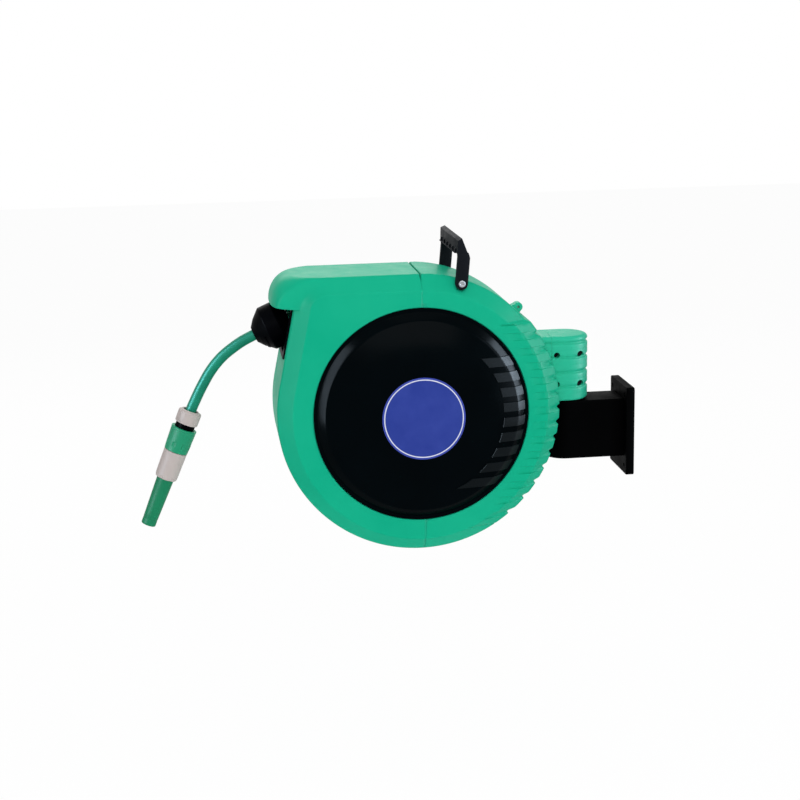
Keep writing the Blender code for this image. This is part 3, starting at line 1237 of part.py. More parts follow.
def carry_handle():
    half = LEG_HALF_WIDTH
    outline = []
    for step in range(9):
        turn = math.pi + math.pi * step / 8
        outline.append(handle_point(half * math.cos(turn), half * math.sin(turn)))
    slant = HANDLE_LENGTH - 0.024
    outline += [handle_point(half, slant), handle_point(-half * 0.55, HANDLE_LENGTH),
                handle_point(-half - 0.002, HANDLE_LENGTH - 0.003), handle_point(-half, slant)]
    handle = prism("carry_handle", outline, -HANDLE_HALF, HANDLE_HALF, "y")
    inner = HANDLE_HALF - LEG_THICK
    low = HANDLE_LENGTH - HANDLE_BAR_HEIGHT
    window = [handle_point(-0.03, -0.02), handle_point(0.03, -0.02), handle_point(0.03, low), handle_point(-0.03, low)]
    cut(handle, prism("window", window, -inner, inner, "y"))
    x, z = HANDLE_PIVOT.x, HANDLE_PIVOT.z
    cut(handle, cylinder("eye", SCREW_SHANK_RADIUS + RUN, (x, -0.1, z), (x, 0.1, z), sides=SHANK))
    for side in (-1, 1):
        floor = HANDLE_HALF - 0.0010
        cut(handle, cylinder("recess", HANDLE_SCREW_HEAD + RUN, (x, side * floor, z), (x, side * 0.1, z), sides=SHANK))
    renamed(handle, "carry_handle", "black")
    origin_at(handle, HANDLE_PIVOT)
    for name, side in (("handle_screw_label_side", -1), ("handle_screw_inlet_side", 1)):
        at = Vector((x, side * (HANDLE_HALF - 0.0010 + SCREW_HEAD_THICK + GAP), z))
        screw(name, at, (0, -side, 0), 0.018, HANDLE_SCREW_HEAD)


# Shading and grouping
def merge_flat(item):
    shape = bmesh.new()
    shape.from_mesh(item.data)
    bmesh.ops.dissolve_limit(shape, angle_limit=math.radians(0.1), verts=shape.verts, edges=shape.edges)
    shape.to_mesh(item.data)
    shape.free()


def smooth(item):
    if item.type != "MESH":
        return
    merge_flat(item)
    item.data.shade_smooth()
    item.data.set_sharp_from_angle(angle=math.radians(35))


def empty_at(name, place, children):
    holder = bpy.data.objects.new(name, None)
    bpy.context.scene.collection.objects.link(holder)
    holder.location = place
    for child in children:
        item = bpy.data.objects[child]
        item.parent = holder
        item.location = item.location - Vector(place)


DRUM_NODES = ("drum_half_label_side", "drum_half_inlet_side", "drum_bush_1", "drum_bush_2", "drum_screw_1",
              "drum_screw_2", "drum_screw_3", "swivel_block", "swivel_seal_1", "swivel_seal_2", "spring_case",
              "spring_lid", "power_spring", "hose_inner_layers", "hose_outer_layer", "ratchet_wheel")


def build():
    clear_scene()
    bracket()
    nose_shell()
    rear_shell_and_clamp()
    swivel_parts()
    side_covers()
    axle_parts()
    drum_parts()
    ratchet_parts()
    fairlead()
    hose_parts()
    connector_parts()
    carry_handle()
    empty_at("drum_axis", AXIS, DRUM_NODES)
    empty_at("pawl_axis", pawl_pivot(), ("ratchet_pawl",))
    for item in bpy.data.objects:
        smooth(item)
    bpy.context.view_layer.update()


build()
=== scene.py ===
import math
import bmesh
import bpy
import numpy as np
from mathutils import Matrix, Vector
from mathutils.geometry import delaunay_2d_cdt


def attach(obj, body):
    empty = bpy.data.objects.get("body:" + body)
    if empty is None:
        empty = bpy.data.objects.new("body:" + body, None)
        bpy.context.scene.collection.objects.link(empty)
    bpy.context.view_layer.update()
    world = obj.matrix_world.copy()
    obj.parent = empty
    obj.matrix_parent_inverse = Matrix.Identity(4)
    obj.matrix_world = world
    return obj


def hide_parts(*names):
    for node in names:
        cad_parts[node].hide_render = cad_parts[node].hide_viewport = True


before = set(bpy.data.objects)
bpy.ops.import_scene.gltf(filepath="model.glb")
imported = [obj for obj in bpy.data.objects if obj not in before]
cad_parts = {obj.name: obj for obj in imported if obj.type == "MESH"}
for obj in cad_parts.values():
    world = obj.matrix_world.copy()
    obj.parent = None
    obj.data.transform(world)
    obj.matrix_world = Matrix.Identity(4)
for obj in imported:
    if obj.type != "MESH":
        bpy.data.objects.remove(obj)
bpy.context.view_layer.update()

# Shared places, as in the part's source
reel = dict(
    axisX=-0.2935, axisZ=0.045, pivotX=-0.088, seam=0.003, gap=0.0003, shutGap=0.0001, openEdge=0.004,
    faceStart=0.0030, radius=0.1875, top=0.183, faceHalf=0.075, rimHalf=0.0565, chamferInset=0.0195,
    lipHeight=0.1428, hoodReach=0.190, ringOuter=0.1470,
    hoseRadius=0.0073,
)
axisPoint = np.array([reel["axisX"], 0.0, reel["axisZ"]])


# 0 below low and 1 above high, with the soft cubic t * t * (3 - 2 t) between them.
def smoothStep(low, high, value):
    t = np.clip((value - low) / (high - low), 0, 1)
    return t * t * (3 - 2 * t)


def unit(v):
    v = np.asarray(v, float)
    return v / np.linalg.norm(v)


# A polyline whose corners become short curves: each corner P with radius r is left at P - r and met again
# at P + r, and the points between lie on the quadratic curve that P pulls.
def roundedPath(points, radii, steps=5):
    points = [np.asarray(p, float) for p in points]
    if np.isscalar(radii):
        radii = [radii] * (len(points) - 2)
    line = [points[0]]
    for before, corner, after, radius in zip(points, points[1:], points[2:], radii):
        if radius <= 0:
            line.append(corner)
            continue
        back, ahead = before - corner, after - corner
        reach = min(radius, 0.45 * np.linalg.norm(back), 0.45 * np.linalg.norm(ahead))
        start, end = corner + unit(back) * reach, corner + unit(ahead) * reach
        for t in np.linspace(0, 1, steps + 1):
            line.append(start * (1 - t) ** 2 + corner * 2 * t * (1 - t) + end * t * t)
    line.append(points[-1])
    return np.array(line)


# Quads of a grid of points, row by row; the last row or column may join the first.
def gridFaces(rows, cols, wrapRows=False, wrapCols=False):
    r, c = np.meshgrid(np.arange(rows if wrapRows else rows - 1), np.arange(cols if wrapCols else cols - 1),
                       indexing="ij")
    r, c = r.ravel(), c.ravel()
    r2, c2 = (r + 1) % rows, (c + 1) % cols
    return np.stack([r * cols + c, r * cols + c2, r2 * cols + c2, r2 * cols + c], 1)


# Even-odd test of points against closed loops, as whole arrays.
def insideLoops(points, loops):
    odd = np.zeros(len(points), bool)
    for loop in loops:
        a, b = loop, np.roll(loop, -1, axis=0)
        px, py = points[:, :1], points[:, 1:]
        crosses = (a[:, 1] > py) != (b[:, 1] > py)
        rise = np.where(np.abs(b[:, 1] - a[:, 1]) < 1e-12, 1e-12, b[:, 1] - a[:, 1])
        at = a[:, 0] + (py - a[:, 1]) * (b[:, 0] - a[:, 0]) / rise
        odd ^= (crosses & (px < at)).sum(1) % 2 == 1
    return odd


# Collects surfaces and turns them into one piece of the reel.
class Shape:

    def __init__(self):
        self.points, self.faces, self.count = [], [], 0

    def raw(self, points, faces):
        points = np.asarray(points, float).reshape(-1, 3)
        self.points.append(points)
        self.faces += [tuple(int(i) + self.count for i in face) for face in faces]
        self.count += len(points)

    def grid(self, points, wrapRows=False, wrapCols=False, keep=None):
        faces = gridFaces(points.shape[0], points.shape[1], wrapRows, wrapCols)
        self.raw(points, faces if keep is None else faces[keep.ravel()])

    # A flat area between closed loops; place turns its two coordinates into a point.
    def flat(self, loops, place):
        corners, edges, first = [], [], 0
        for loop in loops:
            corners += [Vector((float(p[0]), float(p[1]))) for p in loop]
            edges += [(first + k, first + (k + 1) % len(loop)) for k in range(len(loop))]
            first += len(loop)
        found = delaunay_2d_cdt(corners, edges, [], 0, 1e-7)
        flatPoints = np.array([list(v) for v in found[0]])
        triangles = np.array([f for f in found[2] if len(f) == 3])
        middle = flatPoints[triangles].mean(1)
        kept = triangles[insideLoops(middle, [np.asarray(loop, float) for loop in loops])]
        self.raw(place(flatPoints), kept)

    def build(self, name, body, nodes, finish, sharp=32, wall=0.0, merge=4e-6):
        mesh = bpy.data.meshes.new(name)
        mesh.from_pydata(np.concatenate(self.points).tolist(), [], self.faces)
        work = bmesh.new()
        work.from_mesh(mesh)
        bmesh.ops.remove_doubles(work, verts=work.verts, dist=merge)
        bmesh.ops.dissolve_degenerate(work, dist=merge / 2, edges=work.edges)
        bmesh.ops.recalc_face_normals(work, faces=work.faces)
        work.to_mesh(mesh)
        work.free()
        mesh.shade_smooth()
        mesh.set_sharp_from_angle(angle=math.radians(sharp))
        mesh.materials.append(finish)
        piece = bpy.data.objects.new(name, mesh)
        bpy.context.scene.collection.objects.link(piece)
        if wall:
            shell = piece.modifiers.new("wall", "SOLIDIFY")
            shell.thickness = wall
            shell.offset = -1
        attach(piece, body)
        if nodes:
            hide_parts(*nodes)
        return piece


# Profile (radius, along) turned about a direction: at + axis * along + radius * (cos turn, sin turn) across the
# axis. ripple(turn, radius, along) may change the radius.
def turnedSurface(shape, profile, at, direction, steps=72, ripple=None):
    axis = unit(direction)
    first = np.cross(axis, (0, 1, 0))
    if np.linalg.norm(first) < 0.2:
        first = np.cross(axis, (1, 0, 0))
    first = unit(first)
    second = np.cross(axis, first)
    turn = np.linspace(0, 2 * math.pi, steps, endpoint=False)[None, :, None]
    profile = np.asarray(profile, float)
    radius, along = profile[:, 0][:, None, None], profile[:, 1][:, None, None]
    if ripple:
        radius = ripple(turn, radius, along)
    points = np.asarray(at, float) + axis * along + radius * (np.cos(turn) * first + np.sin(turn) * second)
    shape.grid(points, wrapCols=True)


# One piece made of turned profiles that share a place and a direction.
def turnedPiece(name, node, body, look, profiles, at, direction, steps=64, ripple=None, sharp=32):
    shape = Shape()
    for profile in profiles:
        turnedSurface(shape, profile, at, direction, steps, ripple)
    return shape.build(name, body, [node], finish[look], sharp=sharp)


# A tube: path + radius * (cos turn * across + sin turn * other), where across and other stand square on the path
# and never twist about it.
def tubeSurface(shape, path, radius, sides):
    path = np.asarray(path, float)
    way = np.gradient(path, axis=0)
    way /= np.linalg.norm(way, axis=1)[:, None]
    across = [unit(np.cross(way[0], (0, 1, 0.01)))]
    for w in way[1:]:
        across.append(unit(across[-1] - w * np.dot(across[-1], w)))
    across = np.array(across)
    other = np.cross(way, across)
    turn = np.linspace(0, 2 * math.pi, sides, endpoint=False)[None, :, None]
    rings = path[:, None, :] + radius * (np.cos(turn) * across[:, None, :] + np.sin(turn) * other[:, None, :])
    ends = [np.repeat(end[None, None], sides, 1) for end in (path[0], path[-1])]
    shape.grid(np.concatenate([ends[0], rings, ends[1]]), wrapCols=True)


# Catmull-Rom curve through the route's points: from p1 to p2 it is the cubic whose slopes there are half of
# p2 - p0 and half of p3 - p1. Then points at an even spacing along it, and its length.
def smoothRoute(route, spacing):
    route = np.asarray(route, float)
    ends = np.concatenate([[2 * route[0] - route[1]], route, [2 * route[-1] - route[-2]]])
    t = np.linspace(0, 1, 40, endpoint=False)[:, None]
    fine = []
    for p0, p1, p2, p3 in zip(ends, ends[1:], ends[2:], ends[3:]):
        fine.append(0.5 * (2 * p1 + (p2 - p0) * t + (2 * p0 - 5 * p1 + 4 * p2 - p3) * t ** 2
                           + (3 * p1 - p0 - 3 * p2 + p3) * t ** 3))
    fine = np.concatenate(fine + [route[-1:]])
    travelled = np.concatenate([[0], np.cumsum(np.linalg.norm(np.diff(fine, axis=0), axis=1))])
    goal = np.linspace(0, travelled[-1], max(3, round(travelled[-1] / spacing)))
    return np.stack([np.interp(goal, travelled, fine[:, k]) for k in range(3)], 1), travelled[-1]


# Outline between two levels, with an edge rounded by a quarter circle of size soft. place turns the outline's two
# coordinates and a level into points.
def bevelledPlate(shape, outline, holes, low, high, soft, place):
    outline = np.asarray(outline, float)
    ahead, behind = np.roll(outline, -1, axis=0) - outline, outline - np.roll(outline, 1, axis=0)
    normal = np.column_stack([ahead[:, 1], -ahead[:, 0]]) / np.linalg.norm(ahead, axis=1)[:, None]
    normal += np.column_stack([behind[:, 1], -behind[:, 0]]) / np.linalg.norm(behind, axis=1)[:, None]
    normal /= np.maximum((normal ** 2).sum(1) / 2, 0.5)[:, None]
    area = 0.5 * np.sum(outline[:, 0] * np.roll(outline[:, 1], -1) - outline[:, 1] * np.roll(outline[:, 0], -1))
    normal *= np.sign(area)
    bend = np.linspace(0, math.pi / 2, 4)
    rows = [(low, soft)] + [(low + soft * (1 - math.cos(b)), soft * (1 - math.sin(b))) for b in bend[1:]]
    rows += [(high - soft * (1 - math.cos(b)), soft * (1 - math.sin(b))) for b in bend[:0:-1]] + [(high, soft)]
    rings = np.array([place(outline - normal * inset, level) for level, inset in rows])
    shape.grid(rings, wrapCols=True)
    for level in (low, high):
        loops = [outline - normal * soft] + [np.asarray(h, float) for h in holes]
        shape.flat(loops, lambda p, level=level: place(p, level))
    for hole in holes:
        shape.grid(np.array([place(np.asarray(hole, float), level) for level in (low, high)]), wrapCols=True)


def sideView(points, level):
    return np.column_stack([points[:, 0], np.full(len(points), level), points[:, 1]])


def planView(points, height):
    return np.column_stack([points, np.full(len(points), height)])


def circlePoints(middle, radius, steps, first=0.0, last=2 * math.pi, closed=True):
    turn = np.linspace(first, last, steps, endpoint=not closed)
    return np.column_stack([middle[0] + radius * np.cos(turn), middle[1] + radius * np.sin(turn)])


# Shader maths: a socket that adds, subtracts and multiplies.
class Signal:
    def __init__(self, recipe, socket):
        self.recipe, self.socket = recipe, socket

    def maths(self, operation, other=None, swapped=False):
        values = [self] if other is None else ([other, self] if swapped else [self, other])
        return self.recipe.node("ShaderNodeMath", dict(operation=operation), values)

    def __add__(self, other): return self.maths("ADD", other)
    def __radd__(self, other): return self.maths("ADD", other)
    def __sub__(self, other): return self.maths("SUBTRACT", other)
    def __rsub__(self, other): return self.maths("SUBTRACT", other, True)
    def __mul__(self, other): return self.maths("MULTIPLY", other)
    def __rmul__(self, other): return self.maths("MULTIPLY", other)


# The nodes of one material, or of the world.
class Recipe:
    def __init__(self, name, store=bpy.data.materials, **settings):
        self.owner = store.new(name)
        self.owner.use_nodes = True
        self.tree = self.owner.node_tree
        self.shader = self.tree.nodes.get("Principled BSDF")
        for label, value in settings.items():
            self.shader.inputs[label.replace("_", " ")].default_value = value
        self.place = self.node("ShaderNodeTexCoord", {}, [], "Object")

    def node(self, kind, settings, values, output=0):
        made = self.tree.nodes.new(kind)
        for key, value in settings.items():
            setattr(made, key, value)
        pairs = values.items() if isinstance(values, dict) else enumerate(values)
        for key, value in pairs:
            if isinstance(value, Signal):
                self.tree.links.new(value.socket, made.inputs[key])
            elif value is not None:
                made.inputs[key].default_value = value
        return Signal(self, made.outputs[output])

    def noise(self, scale, detail=3.0, roughness=0.55):
        return self.node("ShaderNodeTexNoise", {}, {"Vector": self.place, "Scale": scale,
                                                    "Detail": detail, "Roughness": roughness})

    def spread(self, value, low, high, toLow, toHigh):
        return self.node("ShaderNodeMapRange", dict(clamp=True), [value, low, high, toLow, toHigh])

    def mix(self, factor, first, second):
        first, second = (colour if isinstance(colour, Signal) else (*colour, 1) for colour in (first, second))
        return self.node("ShaderNodeMix", dict(data_type="RGBA"), {0: factor, 6: first, 7: second}, 2)

    def bump(self, height, distance):
        return self.node("ShaderNodeBump", {}, {"Strength": 1.0, "Distance": distance, "Height": height})

    def axes(self):
        split = self.tree.nodes.new("ShaderNodeSeparateXYZ")
        self.tree.links.new(self.place.socket, split.inputs[0])
        return [Signal(self, out) for out in split.outputs]

    def feed(self, **links):
        for label, signal in links.items():
            self.tree.links.new(signal.socket, self.shader.inputs[label.replace("_", " ")])
        return self.owner


# Moulded plastic: a faint cloudy tone from colour * (1 - tone) to colour * (1 + tone), lifted a little, fine
# moulding grain and slow changes of gloss.
def mouldedPlastic(name, colour, roughness, specular, grain, tone):
    r = Recipe(name, Roughness=roughness, Specular_IOR_Level=specular)
    cloud, speck, streak = r.noise(9, 4), r.noise(2400, 2, 0.6), r.noise(60, 3)
    lift = 0.004 if max(colour) > 0.02 else 0.0002
    pale = tuple(min(1, c * (1 + tone) + lift) for c in colour)
    deep = tuple(c * (1 - tone) for c in colour)
    base = r.mix(r.spread(cloud, 0.35, 0.65, 0, 1), deep, pale)
    rough = r.spread(streak, 0.3, 0.7, roughness * 0.88, roughness * 1.14)
    return r.feed(Base_Color=base, Roughness=rough, Normal=r.bump(speck, grain))


# Hose: soft vinyl with a cloudy tone, a slightly uneven skin and a green sheen.
def hoseFinish(name, colour):
    r = Recipe(name, Roughness=0.42, Specular_IOR_Level=0.42, IOR=1.5, Specular_Tint=(0.30, 1.0, 0.92, 1))
    cloud = r.noise(30, 3)
    fine = r.noise(140, 2)
    base = r.mix(r.spread(cloud, 0.3, 0.7, 0, 1), tuple(c * 0.88 for c in colour), tuple(c * 1.1 for c in colour))
    rough = r.spread(cloud, 0.3, 0.7, 0.40, 0.44)
    return r.feed(Base_Color=base, Roughness=rough, Normal=r.bump(fine, 0.00001))


# Metal: fine brushing in the gloss and darker stains.
def metalFinish(name, colour, roughness, wear=0.12):
    r = Recipe(name, Metallic=1.0, Roughness=roughness)
    brushed = r.noise(700, 4, 0.7)
    stain = r.noise(45, 3)
    base = r.mix(r.spread(stain, 0.35, 0.7, 0, 1), colour, tuple(c * (1 - 2 * wear) for c in colour))
    rough = r.spread(brushed, 0.3, 0.7, roughness - 0.08, roughness + wear)
    return r.feed(Base_Color=base, Roughness=rough, Normal=r.bump(brushed, 0.00003))


# Label: blue disc with a faint cloudy tone, a thin pale ring near its edge and a brighter blue outside it.
def labelFinish(name):
    r = Recipe(name, Roughness=0.35, Specular_IOR_Level=0.08)
    x, _, z = r.axes()
    x, z = x - reel["axisX"], z - reel["axisZ"]
    out = r.node("ShaderNodeMath", dict(operation="SQRT"), [x * x + z * z])
    cloud = r.noise(40, 3)
    blue = r.mix(r.spread(cloud, 0.3, 0.7, 0, 1), (0.024, 0.047, 0.300), (0.031, 0.057, 0.335))
    edge = r.spread(out, 0.0520, 0.0526, 0, 1)
    blue = r.mix(edge, blue, (0.045, 0.070, 0.400))
    ring = r.spread(out, 0.0504, 0.0508, 0, 1) * r.spread(out, 0.0518, 0.0522, 1, 0)
    base = r.mix(ring, blue, (0.72, 0.74, 0.86))
    return r.feed(Base_Color=base, Roughness=r.spread(cloud, 0.3, 0.7, 0.30, 0.42))


# Plastics: name, colour, roughness, specular level, depth of the grain, depth of the cloudy tone
plastics = dict(
    green=("housingGreen", (0.0045, 0.450, 0.258), 0.40, 0.03, 0.00003, 0.03),
    # The column and its clamp are the housing's green plastic; their paler colour is painted light, standing in for
    # light from the front right.
    column=("columnGreenPaintedLight", (0.0200, 0.510, 0.315), 0.42, 0.06, 0.00003, 0.03),
    cover=("coverBlack", (0.0001, 0.0014, 0.0022), 0.18, 0.015, 0.000005, 0.2),
    pads=("coverSatin", (0.0014, 0.0034, 0.0046), 0.34, 0.055, 0.00002, 0.2),
    bracket=("bracketBlack", (0.0003, 0.0003, 0.0004), 0.50, 0.008, 0.00004, 0.25),
    handle=("handleBlack", (0.0075, 0.0090, 0.0120), 0.50, 0.016, 0.00004, 0.2),
    inner=("innerBlack", (0.0030, 0.0030, 0.0034), 0.50, 0.05, 0.00004, 0.2),
    stop=("stopBlack", (0.0003, 0.0005, 0.0012), 0.40, 0.012, 0.00003, 0.2),
    grey=("connectorGrey", (0.560, 0.495, 0.475), 0.50, 0.12, 0.00004, 0.04),
    sleeve=("sleeveGreen", (0.015, 0.325, 0.165), 0.44, 0.12, 0.00001, 0.05),
    tube=("tubeGreen", (0.008, 0.222, 0.102), 0.46, 0.08, 0.00001, 0.05),
    acetal=("rollerWhite", (0.46, 0.45, 0.42), 0.45, 0.2, 0.00003, 0.04),
    rubber=("sealRubber", (0.012, 0.012, 0.012), 0.62, 0.3, 0.00005, 0.2),
)
finish = {key: mouldedPlastic(*values) for key, values in plastics.items()}
finish.update(
    hose=hoseFinish("hoseGreen", (0.004, 0.205, 0.115)),
    steel=metalFinish("screwSteel", (0.34, 0.35, 0.37), 0.32),
    brass=metalFinish("waterBrass", (0.72, 0.55, 0.26), 0.30),
    oxide=metalFinish("blackenedSteel", (0.010, 0.011, 0.012), 0.45),
    label=labelFinish("labelBlue"),
)
print("finishes made:", len(finish))


# Camera at the photograph's viewing angle
camera = dict(
    lens=73.52, sensor=36, azimuth=-7.16, elevation=13.1, roll=-1.15, target=(-0.31252, 0.0, 0.04932), distance=2.19721,
)


def placeCamera(c):
    a, e, roll = (math.radians(c[key]) for key in ("azimuth", "elevation", "roll"))
    back = np.array([math.sin(a) * math.cos(e), -math.cos(a) * math.cos(e), math.sin(e)])
    right = np.array([math.cos(a), math.sin(a), 0.0])
    up = np.cross(back, right)
    xAxis = right * math.cos(roll) + up * math.sin(roll)
    yAxis = up * math.cos(roll) - right * math.sin(roll)
    lens = bpy.data.cameras.new("photoCamera")
    lens.lens, lens.sensor_width, lens.clip_start, lens.clip_end = c["lens"], c["sensor"], 0.05, 30
    holder = bpy.data.objects.new("photoCamera", lens)
    bpy.context.scene.collection.objects.link(holder)
    turned = np.stack([xAxis, yAxis, back], 1)
    at = np.array(c["target"]) + back * c["distance"]
    holder.matrix_world = Matrix([(*turned[k], at[k]) for k in range(3)] + [(0, 0, 0, 1)])
    bpy.context.scene.camera = holder


# Soft studio light: three lamps light the object, and three cards show only in glossy surfaces.
lamps = dict(
    keySoftbox=dict(at=(-0.25, -2.5, 1.35), aim=(-0.30, 0.0, 0.05), size=(2.0, 1.4), power=30),
    topSoftbox=dict(at=(-0.20, -0.1, 1.9), aim=(-0.30, 0.0, 0.0), size=(1.6, 1.6), power=7),
    rearSoftbox=dict(at=(-0.4, 2.2, 1.3), aim=(-0.30, 0.0, 0.05), size=(1.8, 1.2), power=18),
)
cards = dict(
    leftStrip=dict(at=(-1.58, -0.54, 0.35), aim=(-0.40, -0.08, 0.05), size=(0.35, 1.4), power=58),
    rightStrip=dict(at=(1.08, -0.28, 0.28), aim=(-0.17, -0.08, 0.05), size=(0.35, 1.1), power=80),
    rightCard=dict(at=(0.91, -1.07, 0.25), aim=(-0.17, -0.08, 0.05), size=(0.50, 1.0), power=22),
)


def placeLamp(name, at, aim, size, power, colour=(1, 1, 1), lightsUp=True):
    light = bpy.data.lights.new(name, "AREA")
    light.shape, light.size, light.size_y, light.energy = "RECTANGLE", *size, power
    light.color = colour
    holder = bpy.data.objects.new(name, light)
    holder.location = at
    holder.visible_camera = False
    holder.visible_diffuse = lightsUp
    holder.rotation_euler = (Vector(aim) - Vector(at)).to_track_quat("-Z", "Y").to_euler()
    bpy.context.scene.collection.objects.link(holder)


# 1 where the camera sees a thing, itself or in a gloss or through a clear thing, and 0 for the light that it gives.
def directlySeen(r):
    path = r.tree.nodes.new("ShaderNodeLightPath")
    seen, gloss, clear = (Signal(r, path.outputs[f"Is {kind} Ray"]) for kind in ("Camera", "Glossy", "Transmission"))
    return seen.maths("MAXIMUM", gloss).maths("MAXIMUM", clear)


# The world is white where it is seen, and elsewhere it only fills the shadows.
def placeWorld(fill=0.46):
    r = Recipe("studio", bpy.data.worlds)
    bpy.context.scene.world = r.owner
    back = r.tree.nodes["Background"]
    back.inputs["Color"].default_value = (1, 1, 1, 1)
    r.tree.links.new(r.spread(directlySeen(r), 0, 1, fill, 1).socket, back.inputs["Strength"])


# A level floor that looks as white as the world behind it, yet takes the light.
def placeFloor(level=-0.42, reach=7.0, whitened=0.95):
    shape = Shape()
    line = np.linspace(-reach, reach, 9)
    x, y = np.meshgrid(line, line, indexing="ij")
    shape.grid(np.stack([x, y, np.full_like(x, level)], 2))
    mesh = bpy.data.meshes.new("floor")
    mesh.from_pydata(np.concatenate(shape.points).tolist(), [], shape.faces)
    floor = bpy.data.objects.new("floor", mesh)
    bpy.context.scene.collection.objects.link(floor)
    r = Recipe("floorWhite", Roughness=0.9, Base_Color=(0.96, 0.96, 0.96, 1))
    shader, glow = r.shader, r.tree.nodes.new("ShaderNodeEmission")
    blend, last = r.tree.nodes.new("ShaderNodeMixShader"), r.tree.nodes["Material Output"]
    sources = (directlySeen(r) * whitened).socket, shader.outputs[0], glow.outputs[0]
    for source, target in zip(sources, blend.inputs):
        r.tree.links.new(source, target)
    r.tree.links.new(blend.outputs[0], last.inputs[0])
    mesh.materials.append(r.owner)


placeCamera(camera)
for lampName, settings in lamps.items():
    placeLamp(lampName, **settings)
for lampName, settings in cards.items():
    placeLamp(lampName, **settings, colour=(0.70, 0.85, 1.0), lightsUp=False)
placeWorld()
placeFloor()
bpy.context.scene.view_settings.view_transform = "Standard"
print("studio set")


# Screws: a round head with a six-sided socket on a plain shank. The socket's rim stands at
# radius * cos 30 / cos(turn from the middle of the nearest side).
screw = dict(socket=0.52, deep=0.0014, thick=0.0025, shank=0.0020, head=0.0038, pivotHead=0.0044)


def screwPiece(name, node, at, direction, length, head, look):
    socket, deep, thick, shank = head * screw["socket"], screw["deep"], screw["thick"], screw["shank"]

    def ripple(turn, radius, along):
        six = np.cos(math.pi / 6) / np.cos((turn + math.pi / 6) % (math.pi / 3) - math.pi / 6)
        return np.where(radius <= socket + 1e-9, radius * six, radius + 0 * turn)

    profile = [(0, deep), (socket, deep), (socket, 0.0001), (socket * 1.02 + 0.00002, 0), (head - 0.0004, 0),
               (head - 0.0001, 0.0001), (head, 0.0004), (head, thick), (shank, thick), (shank, thick + length),
               (0, thick + length)]
    turnedPiece(name, node, "housing", look, [profile], at, direction, 48, ripple, 30)


# Hose: level at the fairlead, then a bend down to the hose stop, then the free end, which hangs to its nut
hoseLine = dict(
    height=0.1717, exitTurn=math.radians(24), bendBack=0.145, bend=0.05, stopBack=0.0085,
    stop=(-0.480305, 0.0, 0.157819), nut=(-0.5917, 0.0, 0.0495), down=(-0.385, 0.0, -0.923),
)
exitWay = np.array([-math.cos(hoseLine["exitTurn"]), 0.0, -math.sin(hoseLine["exitTurn"])])
stopAt, nutAt, downHose = np.array(hoseLine["stop"]), np.array(hoseLine["nut"]), unit(hoseLine["down"])
leadEnd = stopAt - exitWay * hoseLine["stopBack"]
freeRoute = [leadEnd + exitWay * 0.0003, leadEnd + exitWay * 0.0044, stopAt, stopAt + exitWay * 0.012]
freeRoute += [stopAt + np.array([x, 0.0, z]) for x, z in (
    (-0.0247, -0.0110), (-0.0397, -0.0184), (-0.0527, -0.0268), (-0.0657, -0.0368), (-0.0767, -0.0482),
    (-0.0854, -0.0598), (-0.0927, -0.0718), (-0.0991, -0.0833), (-0.1053, -0.0956))]
freeRoute += [nutAt + downHose * 0.0005, nutAt + downHose * 0.0226]


# The bend is a circle: back by bend * sin turn and down by bend * (1 - cos turn).
def bendPoint(share, h):
    turn = h["exitTurn"] * share
    return (reel["axisX"] - h["bendBack"] - h["bend"] * math.sin(turn), 0.0,
            h["height"] - h["bend"] * (1 - math.cos(turn)))


leadRoute = [(reel["axisX"] + x, y, hoseLine["height"])
             for x, y in ((0.004, 0.030), (-0.030, 0.027), (-0.068, 0.015), (-0.100, 0.004), (-0.122, 0.0))]
leadRoute += [bendPoint(share, hoseLine) for share in (0.0, 0.5, 1.0)] + [leadEnd - exitWay * 0.0075, leadEnd]


def hosePiece(name, node, body, path, sides):
    shape = Shape()
    tubeSurface(shape, path, reel["hoseRadius"], sides)
    return shape.build(name, body, [node], finish["hose"])


freePath, freeLength = smoothRoute(freeRoute, 0.0012)
freeHose = hosePiece("freeHose", "hose_free", "housing", freePath, 64)
hosePiece("leadHose", "hose_lead", "housing", smoothRoute(leadRoute, 0.003)[0], 32)

# Wound hose: the outer layer is a spiral, (radius * cos turn, pitch * turns, radius * sin turn), and the layers
# under it are one ring whose radius waves by |cos(pi * y / pitch)|.
winding = dict(radius=0.1111, pitch=0.0151, turns=6, steps=72, layers=0.1018, wave=0.0028, core=0.0603, half=0.0527)


def woundHose(w):
    turn = np.linspace(0, 2 * math.pi * w["turns"], w["turns"] * w["steps"] + 1)
    path = np.column_stack([w["radius"] * np.cos(turn), w["pitch"] * (turn / (2 * math.pi) - w["turns"] / 2),
                            w["radius"] * np.sin(turn)])
    hosePiece("outerWinding", "hose_outer_layer", "drum", path + axisPoint, 16)
    y = np.linspace(-w["half"], w["half"], 71)
    radius = w["layers"] - w["wave"] * (1 - np.abs(np.cos(np.pi * y / w["pitch"])))
    core = [(w["core"], -w["half"]), (w["core"], w["half"])]
    profile = core[:1] + list(zip(radius, y)) + core[::-1]
    turnedPiece("innerWinding", "hose_inner_layers", "drum", "hose", [profile], axisPoint, (0, 1, 0), 96)


woundHose(winding)

# Hose stop: two halves, each a profile (along, radius) turned by half a circle, with a raised bar near its back
hoseStop = dict(
    profile=((0.0262, 0.0076), (-0.0240, 0.0076), (-0.0240, 0.0140), (-0.0232, 0.0156), (-0.0106, 0.0292),
             (-0.0092, 0.0298), (0.0070, 0.0298), (0.0082, 0.0293), (0.0196, 0.0190), (0.0204, 0.0180),
             (0.0256, 0.0113), (0.0262, 0.0105)),
    bar=((0.0172, 0.0195), (0.0166, 0.0228), (0.0142, 0.0250), (0.0134, 0.0228)), barFrom=20, barTo=78,
    screwBack=0.003, screwOut=0.0190, screwSide=0.0178, screwLength=0.028,
)
footWay = unit(np.cross(exitWay, (0, 1, 0)))


